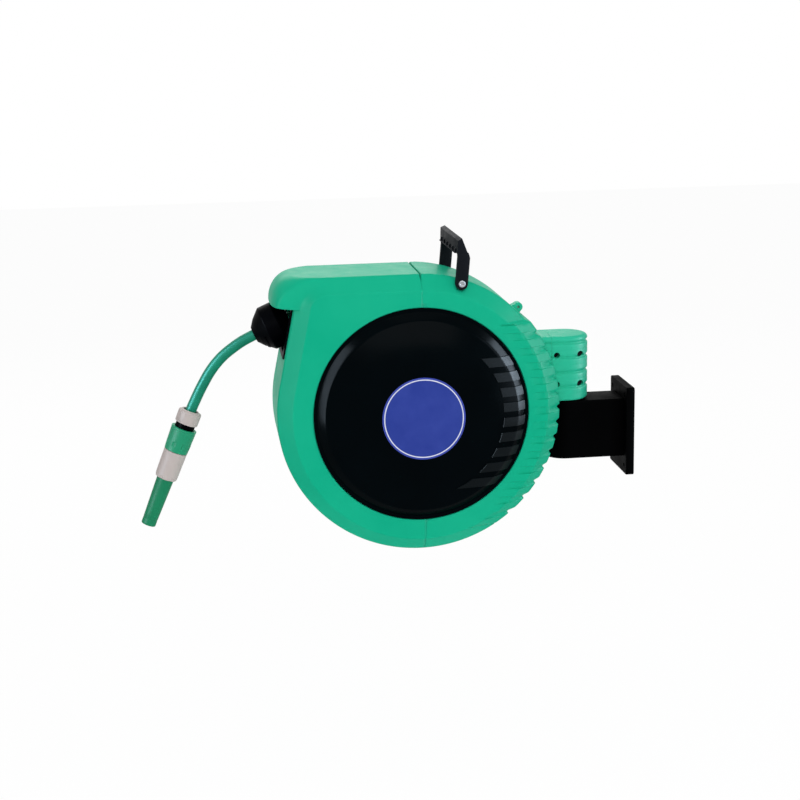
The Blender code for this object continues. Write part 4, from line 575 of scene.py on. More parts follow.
# stopAt + exitWay * along + radius * (cos turn * footWay + sin turn * side)
def stopSweep(profile, turn, side):
    profile = np.array(profile)
    along, radius = profile[:, 0, None, None], profile[:, 1, None, None]
    around = np.cos(turn)[:, None] * footWay + np.sin(turn)[:, None] * np.array([0, float(side), 0])
    return stopAt + exitWay * along + radius * around


def stopHalf(name, node, side, h):
    shape = Shape()
    apart = np.array([0, side * reel["gap"] / 2, 0])
    rings = stopSweep(h["profile"], np.linspace(0, math.pi, 73), side) + apart
    shape.grid(np.concatenate([rings, rings[:1]]))
    for way in (footWay, -footWay):
        shape.flat([h["profile"]], lambda p, way=way: stopAt + exitWay * p[:, :1] + way * p[:, 1:] + apart)
    bar = stopSweep(h["bar"], np.linspace(math.radians(h["barFrom"]), math.radians(h["barTo"]), 15), side)
    shape.grid(bar, wrapRows=True)
    for end in (0, -1):
        shape.raw(bar[:, end], [(0, 1, 2, 3)])
    shape.build(name, "housing", [node], finish["stop"], sharp=18)


stopHalf("hoseStopLabelSide", "hose_stop_label_side", -1, hoseStop)
stopHalf("hoseStopInletSide", "hose_stop_inlet_side", 1, hoseStop)
for number, sign in ((1, 1), (2, -1)):
    at = stopAt - exitWay * hoseStop["screwBack"] + footWay * hoseStop["screwOut"] * sign
    screwPiece(f"stopScrew{number}", f"stop_screw_{number}", at - np.array([0, hoseStop["screwSide"], 0]), (0, 1, 0),
               hoseStop["screwLength"], screw["head"], "oxide")

# Connector and nozzle: profiles (radius, along) turned about the hose's lower end
connector = dict(
    nut=[(0.0102, 0.0005), (0.0112, 0), (0.0118, 0.0004), (0.0150, 0.0021), (0.01545, 0.0030), (0.0155, 0.0045),
         (0.0155, 0.0100), (0.0153, 0.0178), (0.0148, 0.0186), (0.0114, 0.0186), (0.0114, 0.005), (0.0102, 0.005),
         (0.0102, 0.0005)],
    body=[(0.0076, 0.0014), (0.0096, 0.0014), (0.0099, 0.0017), (0.0099, 0.0055), (0.0110, 0.006), (0.0110, 0.0189),
          (0.0128, 0.0189), (0.0130, 0.0192), (0.0130, 0.0546), (0.0075, 0.0546), (0.0075, 0.0326), (0.0045, 0.0326),
          (0.0045, 0.0246), (0.0076, 0.0246), (0.0076, 0.0014)],
    grip=[(0.0045, -0.0260), (0.0062, -0.0260), (0.0072, -0.0250), (0.0072, -0.0020), (0.0120, -0.0020), (0.0120, 0),
          (0.0149, 0.0002), (0.0155, 0.0009), (0.0155, 0.0090), (0.0153, 0.0200), (0.0151, 0.0300), (0.0150, 0.0340),
          (0.0150, 0.0352), (0.0149, 0.0366), (0.0147, 0.0380), (0.0140, 0.0392), (0.0130, 0.0395), (0.0118, 0.0395),
          (0.0118, 0.0195), (0.0045, 0.0195), (0.0045, -0.0260)],
    tube=[(0.0070, -0.0195), (0.0115, -0.0195), (0.0115, 0), (0.01145, 0.0010), (0.0108, 0.0250), (0.0101, 0.0500),
          (0.00985, 0.0590), (0.00955, 0.0594), (0.00950, 0.0602), (0.0098, 0.0608), (0.0098, 0.0672),
          (0.0095, 0.0680), (0.0073, 0.0680), (0.0070, 0.0677), (0.0070, -0.0195)],
    sleeveBack=0.0256, gripBack=0.0589, tubeBack=0.0984, sleeveLength=0.0330, sleeveRadius=0.01715, sleeveTaper=0.0013,
    dimples=8, dimpleAt=0.0225, dimpleRadius=0.0165, dimpleWide=0.0026, dimpleLong=0.0040, dimpleDeep=0.0007,
    dimpleRing=0.00035, ribs=6, ribDeep=0.0009, ribCut=0.55, flatDeep=0.0002,
)


# Sleeve: its radius falls evenly along it between soft ends.
def sleeveProfile(c):
    radius, length = c["sleeveRadius"], c["sleeveLength"]
    rows = np.linspace(0.0012, length - 0.0012, 60)
    start = [(0.0133, 0.0002), (0.0160, 0), (0.0168, 0.0002), (radius, 0.0007)]
    end = [(0.0158, length - 0.0004), (0.0152, length), (0.0133, length), (0.0133, 0.0002)]
    return start + [(radius - c["sleeveTaper"] * (a / length), a) for a in rows] + end


# Oval dimples: where out is the distance from a dimple's middle in half lengths, a hollow inside out = 1 and a
# raised ring exp(-((out - 1.15) / 0.18) ** 2), and a fine groove exp(-(distance / 0.0006) ** 2) near the start.
def dimples(turn, radius, along, c=connector):
    pitch = 2 * math.pi / c["dimples"]
    around = ((turn / pitch) % 1 - 0.5) * pitch * c["dimpleRadius"]
    out = np.hypot(around / c["dimpleWide"], (along - c["dimpleAt"]) / c["dimpleLong"])
    ring = c["dimpleRing"] * np.exp(-((out - 1.15) / 0.18) ** 2)
    groove = -0.0003 * np.exp(-((along - 0.0035) / 0.0006) ** 2)
    return radius + (ring + groove - c["dimpleDeep"] * (1 - smoothStep(0.55, 1.0, out))) * (radius > 0.0152)


# Grip: six faint flats by 1 - cos(turn from a flat's middle), and six teeth cut into its far end.
def gripRipple(turn, radius, along, c=connector):
    step = 2 * math.pi / c["ribs"]
    flat = np.cos((turn + step / 2) % step - step / 2)
    low = smoothStep(0.030, 0.036, along)
    tooth = -c["ribDeep"] * smoothStep(0.0345, 0.0365, along) * (np.cos(c["ribs"] * turn) > c["ribCut"])
    return radius + (radius > 0.0125) * (tooth - c["flatDeep"] * low * (1 - flat))


def connectorPiece(name, node, body, look, profile, back, steps, ripple=None, sharp=40):
    return turnedPiece(name, node, body, look, [profile], nutAt + downHose * back, downHose, steps, ripple, sharp)


onHose = [
    connectorPiece("connectorNut", "connector_nut", "housing", "grey", connector["nut"], 0, 96),
    connectorPiece("connectorBody", "connector_body", "housing", "stop", connector["body"], 0, 64,
                   sharp=32),
    connectorPiece("releaseSleeve", "release_sleeve", "click_sleeve", "sleeve",
                   sleeveProfile(connector), connector["sleeveBack"], 160, dimples),
    connectorPiece("nozzleGrip", "nozzle_grip", "nozzle", "grey", connector["grip"],
                   connector["gripBack"], 96, gripRipple),
    connectorPiece("nozzleTube", "nozzle_tube", "nozzle", "tube", connector["tube"],
                   connector["tubeBack"], 72),
]
tuple(float(v) for v in freeRoute[0])
[tuple(float(v) for v in p) for p in [*freePath[::4], freePath[-1]]]
print("hose, stop and connector done")


# Housing, nose half
nose = dict(
    wall=0.0028, tangent=168, noseSteps=70, floorSteps=4, mouthSteps=8, underSteps=4, mouthHalf=0.034,
    mouthFloor=0.078, lipFade=0.45, lipRim=0.004, lipRound=0.0016, lipRise=0.0022, hoodRound=0.0525,
    hoodRoundHalf=0.078, hoodDepth=0.030, topRound=0.022, rimSoft=0.0030, faceSoft=0.0016, seamDepth=0.0020,
    seamSlope=0.0011, widthStops=(0, 0.008, 0.016, 0.024, 0.030, 0.034, 0.0395, 0.045, 0.050),
)


# Half the open seam between the two shells: open over the rim, nearly shut on the flat faces.
def seamGap(inset):
    return (reel["gap"] if inset < reel["openEdge"] else reel["shutGap"]) / 2


# How far the chamfer has come in at y: 0 up to the rim's edge, then evenly to its full inset at the face.
def chamferLine(y):
    return np.clip((np.abs(y) - reel["rimHalf"]) / (reel["faceHalf"] - reel["rimHalf"]), 0, 1) * reel["chamferInset"]


# Across the width: (y, inset) pairs along the rim, the chamfer and the first of the flat face, both sides alike.
def acrossWidth(s):
    face, rim, inset, stops = reel["faceHalf"], reel["rimHalf"], reel["chamferInset"], s["widthStops"]
    edge = roundedPath([(stops[-1], 0), (rim, 0), (face, inset), (face, inset + reel["faceStart"])],
                       [s["rimSoft"], s["faceSoft"]], 6)
    on = np.array([(rim + (face - rim) * t, inset * t) for t in np.linspace(0.12, 0.88, 7)])
    half = np.concatenate([[(y, 0.0) for y in stops[:-1]], edge[:8], on, edge[8:]])
    return np.concatenate([half[::-1] * (-1, 1), half[1:]])


# Side view outlines (x, height), each at its own y.
def spreadAcross(lines, across):
    return np.stack([lines[:, :, 0], np.repeat(across[:, :1], lines.shape[1], 1), lines[:, :, 1]], 2)


# Side view outline of the nose at one (y, inset), relative to the drum axis: round front, straight wall up to
# the lip, the lip's rising underside, then a quarter ellipse over the hood and the level top. The hood's front
# comes back by hoodRound * (1 - (1 - (y / hoodRoundHalf) ** 3) ** (1 / 3)), and the lip fades out on the chamfer.
def noseOutline(y, inset, s):
    y = abs(y)
    proud = inset - chamferLine(y)
    radius = reel["radius"] - inset
    end = reel["seam"] - seamGap(inset)
    start = math.degrees(math.asin(end / radius))
    turn = np.radians(np.linspace(270 + start, s["tangent"], s["noseSteps"]))
    arc = np.stack([radius * np.cos(turn), radius * np.sin(turn)], 1)
    low, high = arc[-1][1], reel["lipHeight"] + proud
    slope = 1 / math.tan(math.radians(s["tangent"] - 90))
    heights = np.concatenate([np.linspace(low, s["mouthFloor"], s["floorSteps"] + 1)[1:],
                              np.linspace(s["mouthFloor"], high, s["mouthSteps"] + 1)[1:]])
    wall = np.stack([arc[-1][0] + (heights - low) * slope, heights], 1)
    front = s["hoodRound"] * (1 - (1 - min(y / s["hoodRoundHalf"], 1) ** 3) ** (1 / 3))
    fade = float(smoothStep(0, s["lipFade"], (y - reel["rimHalf"]) / (reel["faceHalf"] - reel["rimHalf"])))
    tip = (-reel["hoodReach"] + front + proud) * (1 - fade) + wall[-1][0] * fade
    share = np.linspace(0, 1, s["underSteps"] + 1)[1:]
    lift = s["lipRise"] * (1 - fade)
    under = np.stack([wall[-1][0] + (tip + s["lipRim"] * (1 - fade) - wall[-1][0]) * share, high + lift * share], 1)
    high = high + lift
    soft = s["lipRound"] * (1 - fade)
    bend = np.linspace(0, math.pi / 2, 6)
    lip = np.stack([tip + soft * (1 - np.sin(bend)), high + soft * (1 - np.cos(bend))], 1)
    pull = s["topRound"] * min(y / reel["rimHalf"], 1) ** 4
    if y > reel["rimHalf"]:
        pull *= (reel["faceHalf"] - y) / (reel["faceHalf"] - reel["rimHalf"])
    top = reel["top"] - inset
    angle = np.linspace(0, 1, 20)[1:] * math.pi / 2
    share = np.sin(angle)
    hood = np.stack([tip + s["hoodDepth"] * (1 - np.cos(angle)) + pull * share ** 2,
                     high + soft + (top - high - soft) * share], 1)
    run = end - hood[-1][0]
    level = np.stack([hood[-1][0] + run * np.concatenate([np.linspace(0, 1, 15)[1:-1], [1 - s["seamSlope"] / run, 1]]),
                      np.full(15, top)], 1)
    level[-1, 1] -= s["seamDepth"] if y < reel["rimHalf"] + reel["openEdge"] else 0
    return np.concatenate([arc, wall, under, lip, hood, level])


# The lip round each side opening, turned about the drum's axis: from the flat face over a small edge down into the
# cover's seat.
opening = dict(hole=0.142, seat=0.1335, seatDrop=0.0035, drop=0.0070, soft=0.0009, seatSoft=0.0004)


def openingLip(shape, side, angles, o):
    face, hole, seat = reel["faceHalf"], o["hole"], o["seat"]
    profile = roundedPath([(reel["ringOuter"], face), (hole, face), (hole, face - o["seatDrop"]),
                           (seat, face - o["seatDrop"]), (seat, face - o["drop"])], [o["soft"], 0, o["seatSoft"]], 4)
    lines = profile[:, :1, None] * np.stack([np.cos(angles), np.sin(angles)], 1)
    shape.grid(spreadAcross(lines, profile[:, 1:] * side) + axisPoint)


# Round shell from the outlines with the mouth left out, then each flat face between its outline and the opening.
def noseShell(s):
    shape = Shape()
    across = acrossWidth(s)
    lines = np.array([noseOutline(y, inset, s) for y, inset in across])
    points = spreadAcross(lines, across)
    keep = np.ones((points.shape[0] - 1, points.shape[1] - 1), bool)
    middle = (across[1:, 0] + across[:-1, 0]) / 2
    sill = s["noseSteps"] + s["floorSteps"] - 1
    keep[np.ix_(np.abs(middle) < s["mouthHalf"], np.arange(sill, sill + s["mouthSteps"] + s["underSteps"]))] = False
    shape.grid(points + axisPoint, keep=keep)
    end = reel["seam"] - seamGap(reel["chamferInset"])
    first = math.acos(end / reel["ringOuter"])
    angles = np.linspace(first, 2 * math.pi - first, 150)
    ring = reel["ringOuter"] * np.stack([np.cos(angles), np.sin(angles)], 1)
    for side in (-1, 1):
        edge = lines[0 if side < 0 else -1]
        shape.flat([np.concatenate([edge, ring])],
                   lambda p, side=side: sideView(p, side * reel["faceHalf"]) + axisPoint)
        openingLip(shape, side, angles, opening)
    shape.build("noseShell", "housing", ["nose_shell"], finish["green"], wall=s["wall"], merge=1e-5)


noseShell(nose)
print("nose shell done")


# Housing, wall half, with level ribs round the rim
rear = dict(
    wall=0.0028, ribHeight=0.0040, notch=0.0035, ribPitch=0.020, ribWidth=0.0148, bandWidth=0.0104,
    ribFirst=-7, ribLast=6, ribPhase=-0.0118, ribSoft=0.0040, bandSoft=0.0006, bandDepth=0.0017, bandStart=0.096,
    bandFade=0.012, ringFade=0.015, bandOver=0.0060, levelFade=0.001, sinkFrom=0.003, sinkFull=0.0003,
    rimSoft=0.0030, faceSoft=0.0016,
    lowRows=23, highRows=80, seamDepth=0.0020, pocketLow=-0.0855, pocketHigh=-0.0004, pocketRadius=0.0275,
    pocketSwing=70, widthStops=(0, 0.006, 0.012, 0.018, 0.022, 0.026, 0.0285, 0.032, 0.038, 0.044, 0.050),
)


# 0 on a rib and 1 between two ribs, with soft sides; above the last rib the value stays at 1.
def betweenRibs(height, s, width, soft):
    offset = np.abs((height - s["ribPhase"] + s["ribPitch"] / 2) % s["ribPitch"] - s["ribPitch"] / 2)
    low = s["ribPhase"] + s["ribPitch"] * s["ribFirst"] - width / 2
    last = s["ribPhase"] + s["ribPitch"] * s["ribLast"]
    dip = smoothStep(width / 2 - soft / 2, width / 2 + soft / 2, offset)
    dip = np.where(height > last, smoothStep(width / 2 - soft / 2, width / 2 + soft / 2, height - last), dip)
    return np.where(height < low, 0.0, dip)


# Heights of the outline's points: close together where a rib or a band has its sides.
def rearHeights(s):
    marks = []
    for index in range(s["ribFirst"], s["ribLast"] + 1):
        middle = s["ribPhase"] + s["ribPitch"] * index
        for edge in (-1, 1):
            marks += list(middle + edge * (s["ribWidth"] / 2 + np.linspace(-0.5, 0.5, 6) * s["ribSoft"]))
            marks += list(middle + edge * (s["bandWidth"] / 2 + np.linspace(-0.5, 0.5, 3) * s["bandSoft"]))
        marks += [middle - 0.002, middle + 0.002]
    marks = np.array(sorted(marks))
    return marks[marks < s["ribPhase"] + s["ribPitch"] * s["ribLast"] + (s["ribWidth"] + s["ribSoft"]) / 2 + 1e-6]


# Side view outline of the wall half at one inset. Its radius drops by the notches between the ribs, deep on the
# rim and fading over the chamfer to the shallow bands of the face; past the last rib it keeps the dropped radius.
def rearOutline(inset, s, heights):
    reach, top = reel["radius"] - inset, reel["top"] - inset
    upper = reach - s["ribHeight"]
    end = reel["seam"] + seamGap(inset)
    share = np.clip(inset / reel["chamferInset"], 0, 1)
    notch = betweenRibs(heights, s, s["ribWidth"], s["ribSoft"])
    band = betweenRibs(heights, s, s["bandWidth"], s["bandSoft"])
    drop = notch * s["notch"] * (1 - share) ** 1.4 + band * s["bandDepth"] * share
    last = s["ribPhase"] + s["ribPitch"] * s["ribLast"]
    drop = np.where(heights > last, np.maximum(drop, notch * s["ribHeight"]), drop)
    x = np.sqrt(np.maximum((reach - drop) ** 2 - heights ** 2, 0))
    body = np.stack([x, heights], 1)
    firstTurn = math.atan2(heights[0], x[0])
    turn = np.linspace(-math.acos(end / reach), firstTurn, s["lowRows"] + 1)[:-1]
    lowPart = np.stack([reach * np.cos(turn), reach * np.sin(turn)], 1)
    lastTurn = math.atan2(heights[-1], x[-1])
    turn = np.linspace(lastTurn, math.acos(end / upper), s["highRows"] + 1)[1:]
    highPart = np.stack([upper * np.cos(turn), np.minimum(upper * np.sin(turn), top)], 1)
    if share < 0.25:
        highPart[-1, 1] -= s["seamDepth"]
    return np.concatenate([lowPart, body, highPart])


# How far the flat face sinks between the ribs' faint ends: bandDepth, faded out above and below the ribs, near the
# cover's opening and towards the seam.
def faceSink(points, s):
    x, height = points[..., 0], points[..., 2]
    low = s["ribPhase"] + s["ribPitch"] * s["ribFirst"]
    high = s["ribPhase"] + s["ribPitch"] * s["ribLast"] + s["bandOver"]
    level = smoothStep(low - s["levelFade"], low, height) * (1 - smoothStep(high, high + s["levelFade"], height))
    clear = smoothStep(reel["ringOuter"], reel["ringOuter"] + s["ringFade"], np.hypot(x, height))
    clear *= smoothStep(s["bandStart"], s["bandStart"] + s["bandFade"], x)
    return s["bandDepth"] * betweenRibs(height, s, s["bandWidth"], s["bandSoft"]) * level * clear


# Pushes the rim in where the bracket's arm swings into it: x stays inside the circle of pocketRadius round the pivot
# and, further out, inside the straight line that touches it at the arm's widest swing.
def armPocket(points, s):
    half = s["pocketRadius"]
    x, y, z = points[..., 0] + reel["axisX"], np.abs(points[..., 1]), points[..., 2]
    swing, px = math.radians(s["pocketSwing"]), reel["pivotX"]
    edgeX, edgeY = px - half * math.sin(swing), half * math.cos(swing)
    bend = px - np.sqrt(np.maximum(half ** 2 - y ** 2, 0))
    border = np.where(y < edgeY, bend, edgeX + (y - edgeY) / math.tan(swing))
    inside = (z > s["pocketLow"]) & (z < s["pocketHigh"])
    moved = np.where(inside & (border < x), border, x)
    out = points.copy()
    out[..., 0] = moved - reel["axisX"]
    return out


# Carry handle, whose legs lie in pockets of the housing
handle = dict(
    pivot=(-0.2385, 0.2155), half=0.0735, legThick=0.0090, legHalf=0.0080, length=0.058, barHeight=0.020,
    lean=5.5, fold=60, pocketGap=0.0010, soft=0.0012, slant=0.034, eye=0.0023, notches=5, notchHalf=0.0024,
    notchInset=0.006, notchSoft=0.0004, screwLength=0.018, screwSide=0.0753,
)


# Sinks the chamfer to the leg's inner face where a handle leg stands, where it lies when it is folded, and between
# the two: a disc round the pivot and the sector from one place to the other.
def handlePocket(points, h):
    px, pz = h["pivot"][0] - reel["axisX"], h["pivot"][1] - reel["axisZ"]
    x, y, z = points[..., 0] - px, points[..., 1], points[..., 2] - pz
    half = h["legHalf"] + h["pocketGap"]
    floor = h["half"] - h["legThick"] - reel["gap"]
    fold = math.radians(h["lean"] - h["fold"])
    disc = x * x + z * z < half * half

    def legSpace(turn):
        across, up = math.sin(turn), math.cos(turn)
        return x * across + z * up, x * up - z * across

    alongFold, besideFold = legSpace(fold)
    alongUp, besideUp = legSpace(math.radians(h["lean"]))
    inside = disc | ((alongFold > 0) & (besideFold > -half) & (alongUp > 0) & (besideUp < half))
    depth = np.where(inside & (np.abs(y) > floor), floor, np.abs(y))
    out = points.copy()
    out[..., 1] = np.sign(y) * depth
    return out


# Rim and chamfer from the outlines, then each flat face on straight lines from its outline to the cover's opening.
def rearShell(s, h):
    shape = Shape()
    heights = rearHeights(s)
    across = acrossWidth(s)
    lines = np.array([rearOutline(inset, s, heights) for y, inset in across])

    def sunk(points):
        y = points[..., 1]
        flat = smoothStep(reel["faceHalf"] - s["sinkFrom"], reel["faceHalf"] - s["sinkFull"], np.abs(y))
        moved = points.copy()
        moved[..., 1] = np.sign(y) * (np.abs(y) - faceSink(points, s) * flat)
        return handlePocket(armPocket(moved, s), h)

    shape.grid(sunk(spreadAcross(lines, across)) + axisPoint)
    end = reel["seam"] + seamGap(reel["chamferInset"])
    outer = reel["ringOuter"]
    edge = lines[-1]
    inner = edge[:, 1].copy()
    inner[:s["lowRows"]] = np.linspace(edge[0, 1], heights[0], s["lowRows"] + 1)[:-1]
    inner[-s["highRows"]:] = np.linspace(heights[-1], edge[-1, 1], s["highRows"] + 1)[1:]
    corner = math.sqrt(outer ** 2 - end ** 2)
    for side in (-1, 1):
        inner[np.argmin(np.abs(inner - side * corner))] = side * corner
    left = np.maximum(np.sqrt(np.maximum(outer ** 2 - inner ** 2, 0)), end)
    share = np.concatenate([[0], np.linspace(0.04, 1, 22)])[None, :]
    x = edge[:, :1] + (left[:, None] - edge[:, :1]) * share
    z = edge[:, 1:] + (inner[:, None] - edge[:, 1:]) * share
    for side in (-1, 1):
        plate = np.stack([x, np.full_like(x, side * reel["faceHalf"]), z], 2)
        shape.grid(sunk(plate) + axisPoint)
        onRing = np.abs(inner) <= corner + 1e-9
        openingLip(shape, side, np.arctan2(inner[onRing], left[onRing]), opening)
    shape.build("rearShell", "housing", ["rear_shell"], finish["green"], wall=s["wall"], merge=1e-5)


rearShell(rear, handle)
print("rear shell done")


# Swivel column and its clamp: a plan carried up through soft bands, with an outward way for each plan point. The
# screws' recesses are round patches, each set into a square of the front.
column = dict(
    rib=0.0033, top=0.132, low=0.0446, clampSide=0.0235, capSoft=0.0060, half=0.0285, dipHalf=0.0036, dip=0.0024,
    lineDip=0.0003, lineSoft=0.0006, recess=0.0042, recessFloor=0.0186, recessEdge=0.0006, patch=0.0060,
    screws=(-0.0163, 0.0149), screwZ=(0.067, 0.107), screwSide=0.0163, screwFront=0.0213, screwLength=0.0345,
    bore=0.0129, boreTop=0.122, stub=0.14, ringStep=0.0011,
)


# How far out the column stands: rib, less dip * (1 + cos(pi * offset / dipHalf)) / 2 in the middle of each hollow,
# less a fine line exp(-(distance / lineSoft) ** 2) between two, less a quarter circle at the top.
def columnOut(heights, c, s):
    offset = np.abs((heights - reel["axisZ"] - s["ribPhase"]) % s["ribPitch"] - s["ribPitch"] / 2)
    dip = c["dip"] * 0.5 * (1 + np.cos(np.pi * np.clip(offset / c["dipHalf"], 0, 1)))
    line = c["lineDip"] * np.exp(-((offset - s["ribPitch"] / 2) / c["lineSoft"]) ** 2)
    cap = np.clip((heights - (c["top"] - c["capSoft"])) / c["capSoft"], 0, 1)
    return c["rib"] - dip - line - c["capSoft"] * (1 - np.sqrt(1 - cap ** 2))


# Heights of the column's rings: close at the recesses, whose rings share them, and closer towards the rounded top.
def columnHeights(c):
    marks = list(np.arange(c["low"], c["top"] - c["capSoft"], c["ringStep"]))
    for z in c["screwZ"]:
        marks = [m for m in marks if abs(m - z) > c["patch"]] + list(z + np.linspace(-1, 1, 9) * c["patch"])
    marks += list(c["top"] - c["capSoft"] + c["capSoft"] * np.sin(np.linspace(0, math.pi / 2, 9)))
    return np.array(sorted(marks))


# Front of the column at plan place u: flat behind the swivel axis, round ahead of it, and pushed out by the bands.
def columnFront(u, z, out, c):
    ahead = np.maximum(u - reel["pivotX"], 0)
    front = np.sqrt(np.maximum(c["half"] ** 2 - ahead ** 2, 0))
    return np.stack([u + ahead / c["half"] * out, -front * (1 + out / c["half"]), z + 0 * u], -1)


# A round recess in a square of the front: the square's edge closes to a circle, then the wall runs in to the floor.
def recessPatch(shape, u, z, c, s):
    line = np.linspace(-1, 1, 9)[:-1]
    square = np.concatenate([np.stack([line, line * 0 - 1], 1), np.stack([line * 0 + 1, line], 1),
                             np.stack([-line, line * 0 + 1], 1), np.stack([line * 0 - 1, -line], 1)]) * c["patch"]
    turn = np.arctan2(square[:, 1], square[:, 0])
    circle = np.stack([np.cos(turn), np.sin(turn)], 1) * c["recess"]
    rings = []
    for share in (0, 0.5, 0.85, 1):
        flat = square * (1 - share) + circle * share
        rings.append(columnFront(u + flat[:, 0], z + flat[:, 1], columnOut(z + flat[:, 1], c, s), c))
    edge = rings[-1]
    floor = edge * (1, 0, 1) - (0, c["recessFloor"], 0)
    rings += [edge + (0, c["recessEdge"], 0), floor, floor.mean(0) + (floor - floor.mean(0)) * 0.01]
    shape.grid(np.array(rings), wrapCols=True)


# A plan loop carried up the column; push weighs the bands' outward way, notch is the bore's half circle.
def carriedLoop(shape, loop, push, notch, heights, c, s, holes):
    rings = []
    levels = [(z, 1.0) for z in heights if z <= c["boreTop"]] + [(c["boreTop"], 1.0), (c["boreTop"], 0.0)]
    levels += [(z, 0.0) for z in heights if z > c["boreTop"]]
    for z, deep in levels:
        out = float(columnOut(np.array(z), c, s))
        rings.append(planView(loop + push * out + notch * deep, z))
    rings = np.array(rings)
    keep = np.ones((len(levels) - 1, len(loop)), bool)
    rowZ = np.array([z for z, deep in levels])
    for x, z in holes:
        rows = (rowZ[:-1] >= z - c["patch"] - 1e-7) & (rowZ[1:] <= z + c["patch"] + 1e-7)
        here, after = loop[:, 0], np.roll(loop[:, 0], -1)
        onFront = (push[:, 1] < -0.2) & (np.roll(push[:, 1], -1) < -0.2)
        within = np.maximum(np.abs(here - x), np.abs(after - x)) <= c["patch"] + 1e-7
        keep[np.ix_(rows, within & onFront)] = False
    shape.grid(rings, wrapCols=True, keep=keep)
    for ring in (rings[0], rings[-1]):
        shape.flat([ring[:, :2]], lambda p, z=ring[0, 2]: planView(p, z))


# Plan stops along the front: x places whose columns meet the recess patches' edges.
def frontStops(first, c):
    px = reel["pivotX"]
    left, right = c["screws"]
    bend = np.linspace(math.asin((right + c["patch"]) / c["half"]), math.pi / 2, 14)[1:-1]
    stops = [left + np.linspace(-1, 1, 9) * c["patch"], right + np.linspace(-1, 1, 9) * c["patch"],
             np.linspace(left + c["patch"], right - c["patch"], 10)[1:-1], c["half"] * np.sin(bend)]
    return np.sort(np.concatenate([[first]] + [px + stop for stop in stops]))


# Half of the bore for the swivel post: points along the parting line, and each one's pull into the bore.
def boreHalf(c, y, way):
    turn = np.linspace(0, math.pi, 19)
    x = reel["pivotX"] + way * c["bore"] * np.cos(turn)
    return np.column_stack([x, x * 0 + y]), np.column_stack([x * 0, -way * c["bore"] * np.sin(turn)])


# Joins parts of a plan: points, the outward way that the bands push along, and the pull into the bore.
def planLoop(*parts):
    rows = [[np.broadcast_to(value, np.shape(part[0])) for value in part] for part in parts]
    return [np.concatenate(values) for values in zip(*rows)]


def swivelClamp(c, s, heights):
    px, half, gap = reel["pivotX"], c["half"], reel["gap"]
    left, still = px - c["clampSide"] + gap, (0, 0)
    x = frontStops(left, c)
    x = x[x >= left - 1e-9]
    frontY = -np.sqrt(np.maximum(half ** 2 - np.maximum(x - px, 0) ** 2, 0))
    way = np.where((x > px)[:, None], np.column_stack([(x - px) / half, frontY / half]), [0.0, -1.0])
    bore, pull = boreHalf(c, -gap / 2, 1)
    loop = planLoop((np.column_stack([x, frontY]), way, still), ([[px + half, -gap / 2]], (1, 0), still),
                    (bore, still, pull), ([[left, -gap / 2]], still, still))
    holes = [(px + x, z) for x in c["screws"] for z in c["screwZ"]]
    shape = Shape()
    carriedLoop(shape, *loop, heights, c, s, holes)
    for u, z in holes:
        recessPatch(shape, u, z, c, s)
    # The clamp takes the column's paler green, which is painted light.
    shape.build("swivelClamp", "housing", ["swivel_clamp"], finish["column"], sharp=38)


# The column's far half: round behind the swivel axis, and straight back into the housing.
def columnBody(shape, c, s, heights):
    px, half, gap = reel["pivotX"], c["half"], reel["gap"]
    inside, split, still = reel["axisX"] + c["stub"], px - c["clampSide"], (0, 0)
    turn = np.linspace(0, math.pi / 2, 30)
    way = np.column_stack([np.cos(turn), np.sin(turn)])
    far = way * half + (px, 0)
    far[0, 1] = gap / 2
    bore, pull = boreHalf(c, gap / 2, -1)
    loop = planLoop((far, way, still), ([[inside, half]], (0, 1), still),
                    ([[inside, -half], [split, -half]], (0, -1), still), ([[split, gap / 2]], still, still),
                    (bore, still, pull))
    carriedLoop(shape, *loop, heights, c, s, [])


# Near-black U round the mouth's sides and foot, laid on the sloping wall, where
# x = startX + (height - startHeight) * slope, and a little proud of it; it makes the wall beside the mouth dark.
mouth = dict(
    outer=0.0510, inner=0.0345, foot=0.0765, sill=0.0835, head=0.1420, proud=0.0020, sunk=0.0010, soft=0.0005,
    outerCorner=0.006, innerCorner=0.002,
)


def mouthFace(m, s):
    turn = math.radians(s["tangent"])
    startX, startHeight = reel["radius"] * math.cos(turn), reel["radius"] * math.sin(turn)
    slope = 1 / math.tan(turn - math.pi / 2)
    out = unit((-1.0, 0.0, slope))
    outline = roundedPath([(-m["outer"], m["head"]), (-m["outer"], m["foot"]), (m["outer"], m["foot"]),
                           (m["outer"], m["head"]), (m["inner"], m["head"]), (m["inner"], m["sill"]),
                           (-m["inner"], m["sill"]), (-m["inner"], m["head"])],
                          [m["outerCorner"]] * 2 + [0, 0] + [m["innerCorner"]] * 2, 6)

    def onWall(points, level):
        wall = np.column_stack([startX + (points[:, 1] - startHeight) * slope, points[:, 0], points[:, 1]])
        return wall + axisPoint + out * level

    shape = Shape()
    bevelledPlate(shape, outline, [], -m["sunk"], m["proud"], m["soft"], onWall)
    shape.build("mouthFace", "housing", [], finish["stop"])


mouthFace(mouth, nose)

# Lug ear on the rim: an outline pushed across, with a hole
lug = dict(
    angle=41.5, circle=0.1895, radius=0.0060, hole=0.0019, half=0.0070, foot=0.1805, footHalf=0.0084, soft=0.0008,
)


def lugEar(shape, g):
    turn = math.radians(g["angle"])
    way = np.array([math.cos(turn), math.sin(turn)])
    side = np.array([-way[1], way[0]])
    middle, foot = (axisPoint[[0, 2]] + way * g[key] for key in ("circle", "foot"))
    arc = circlePoints(middle, g["radius"], 25, turn - math.pi / 2, turn + math.pi / 2, closed=False)
    outline = np.concatenate([arc, [foot + side * g["footHalf"], foot - side * g["footHalf"]]])
    bevelledPlate(shape, outline, [circlePoints(middle, g["hole"], 24)], -g["half"], g["half"], g["soft"], sideView)


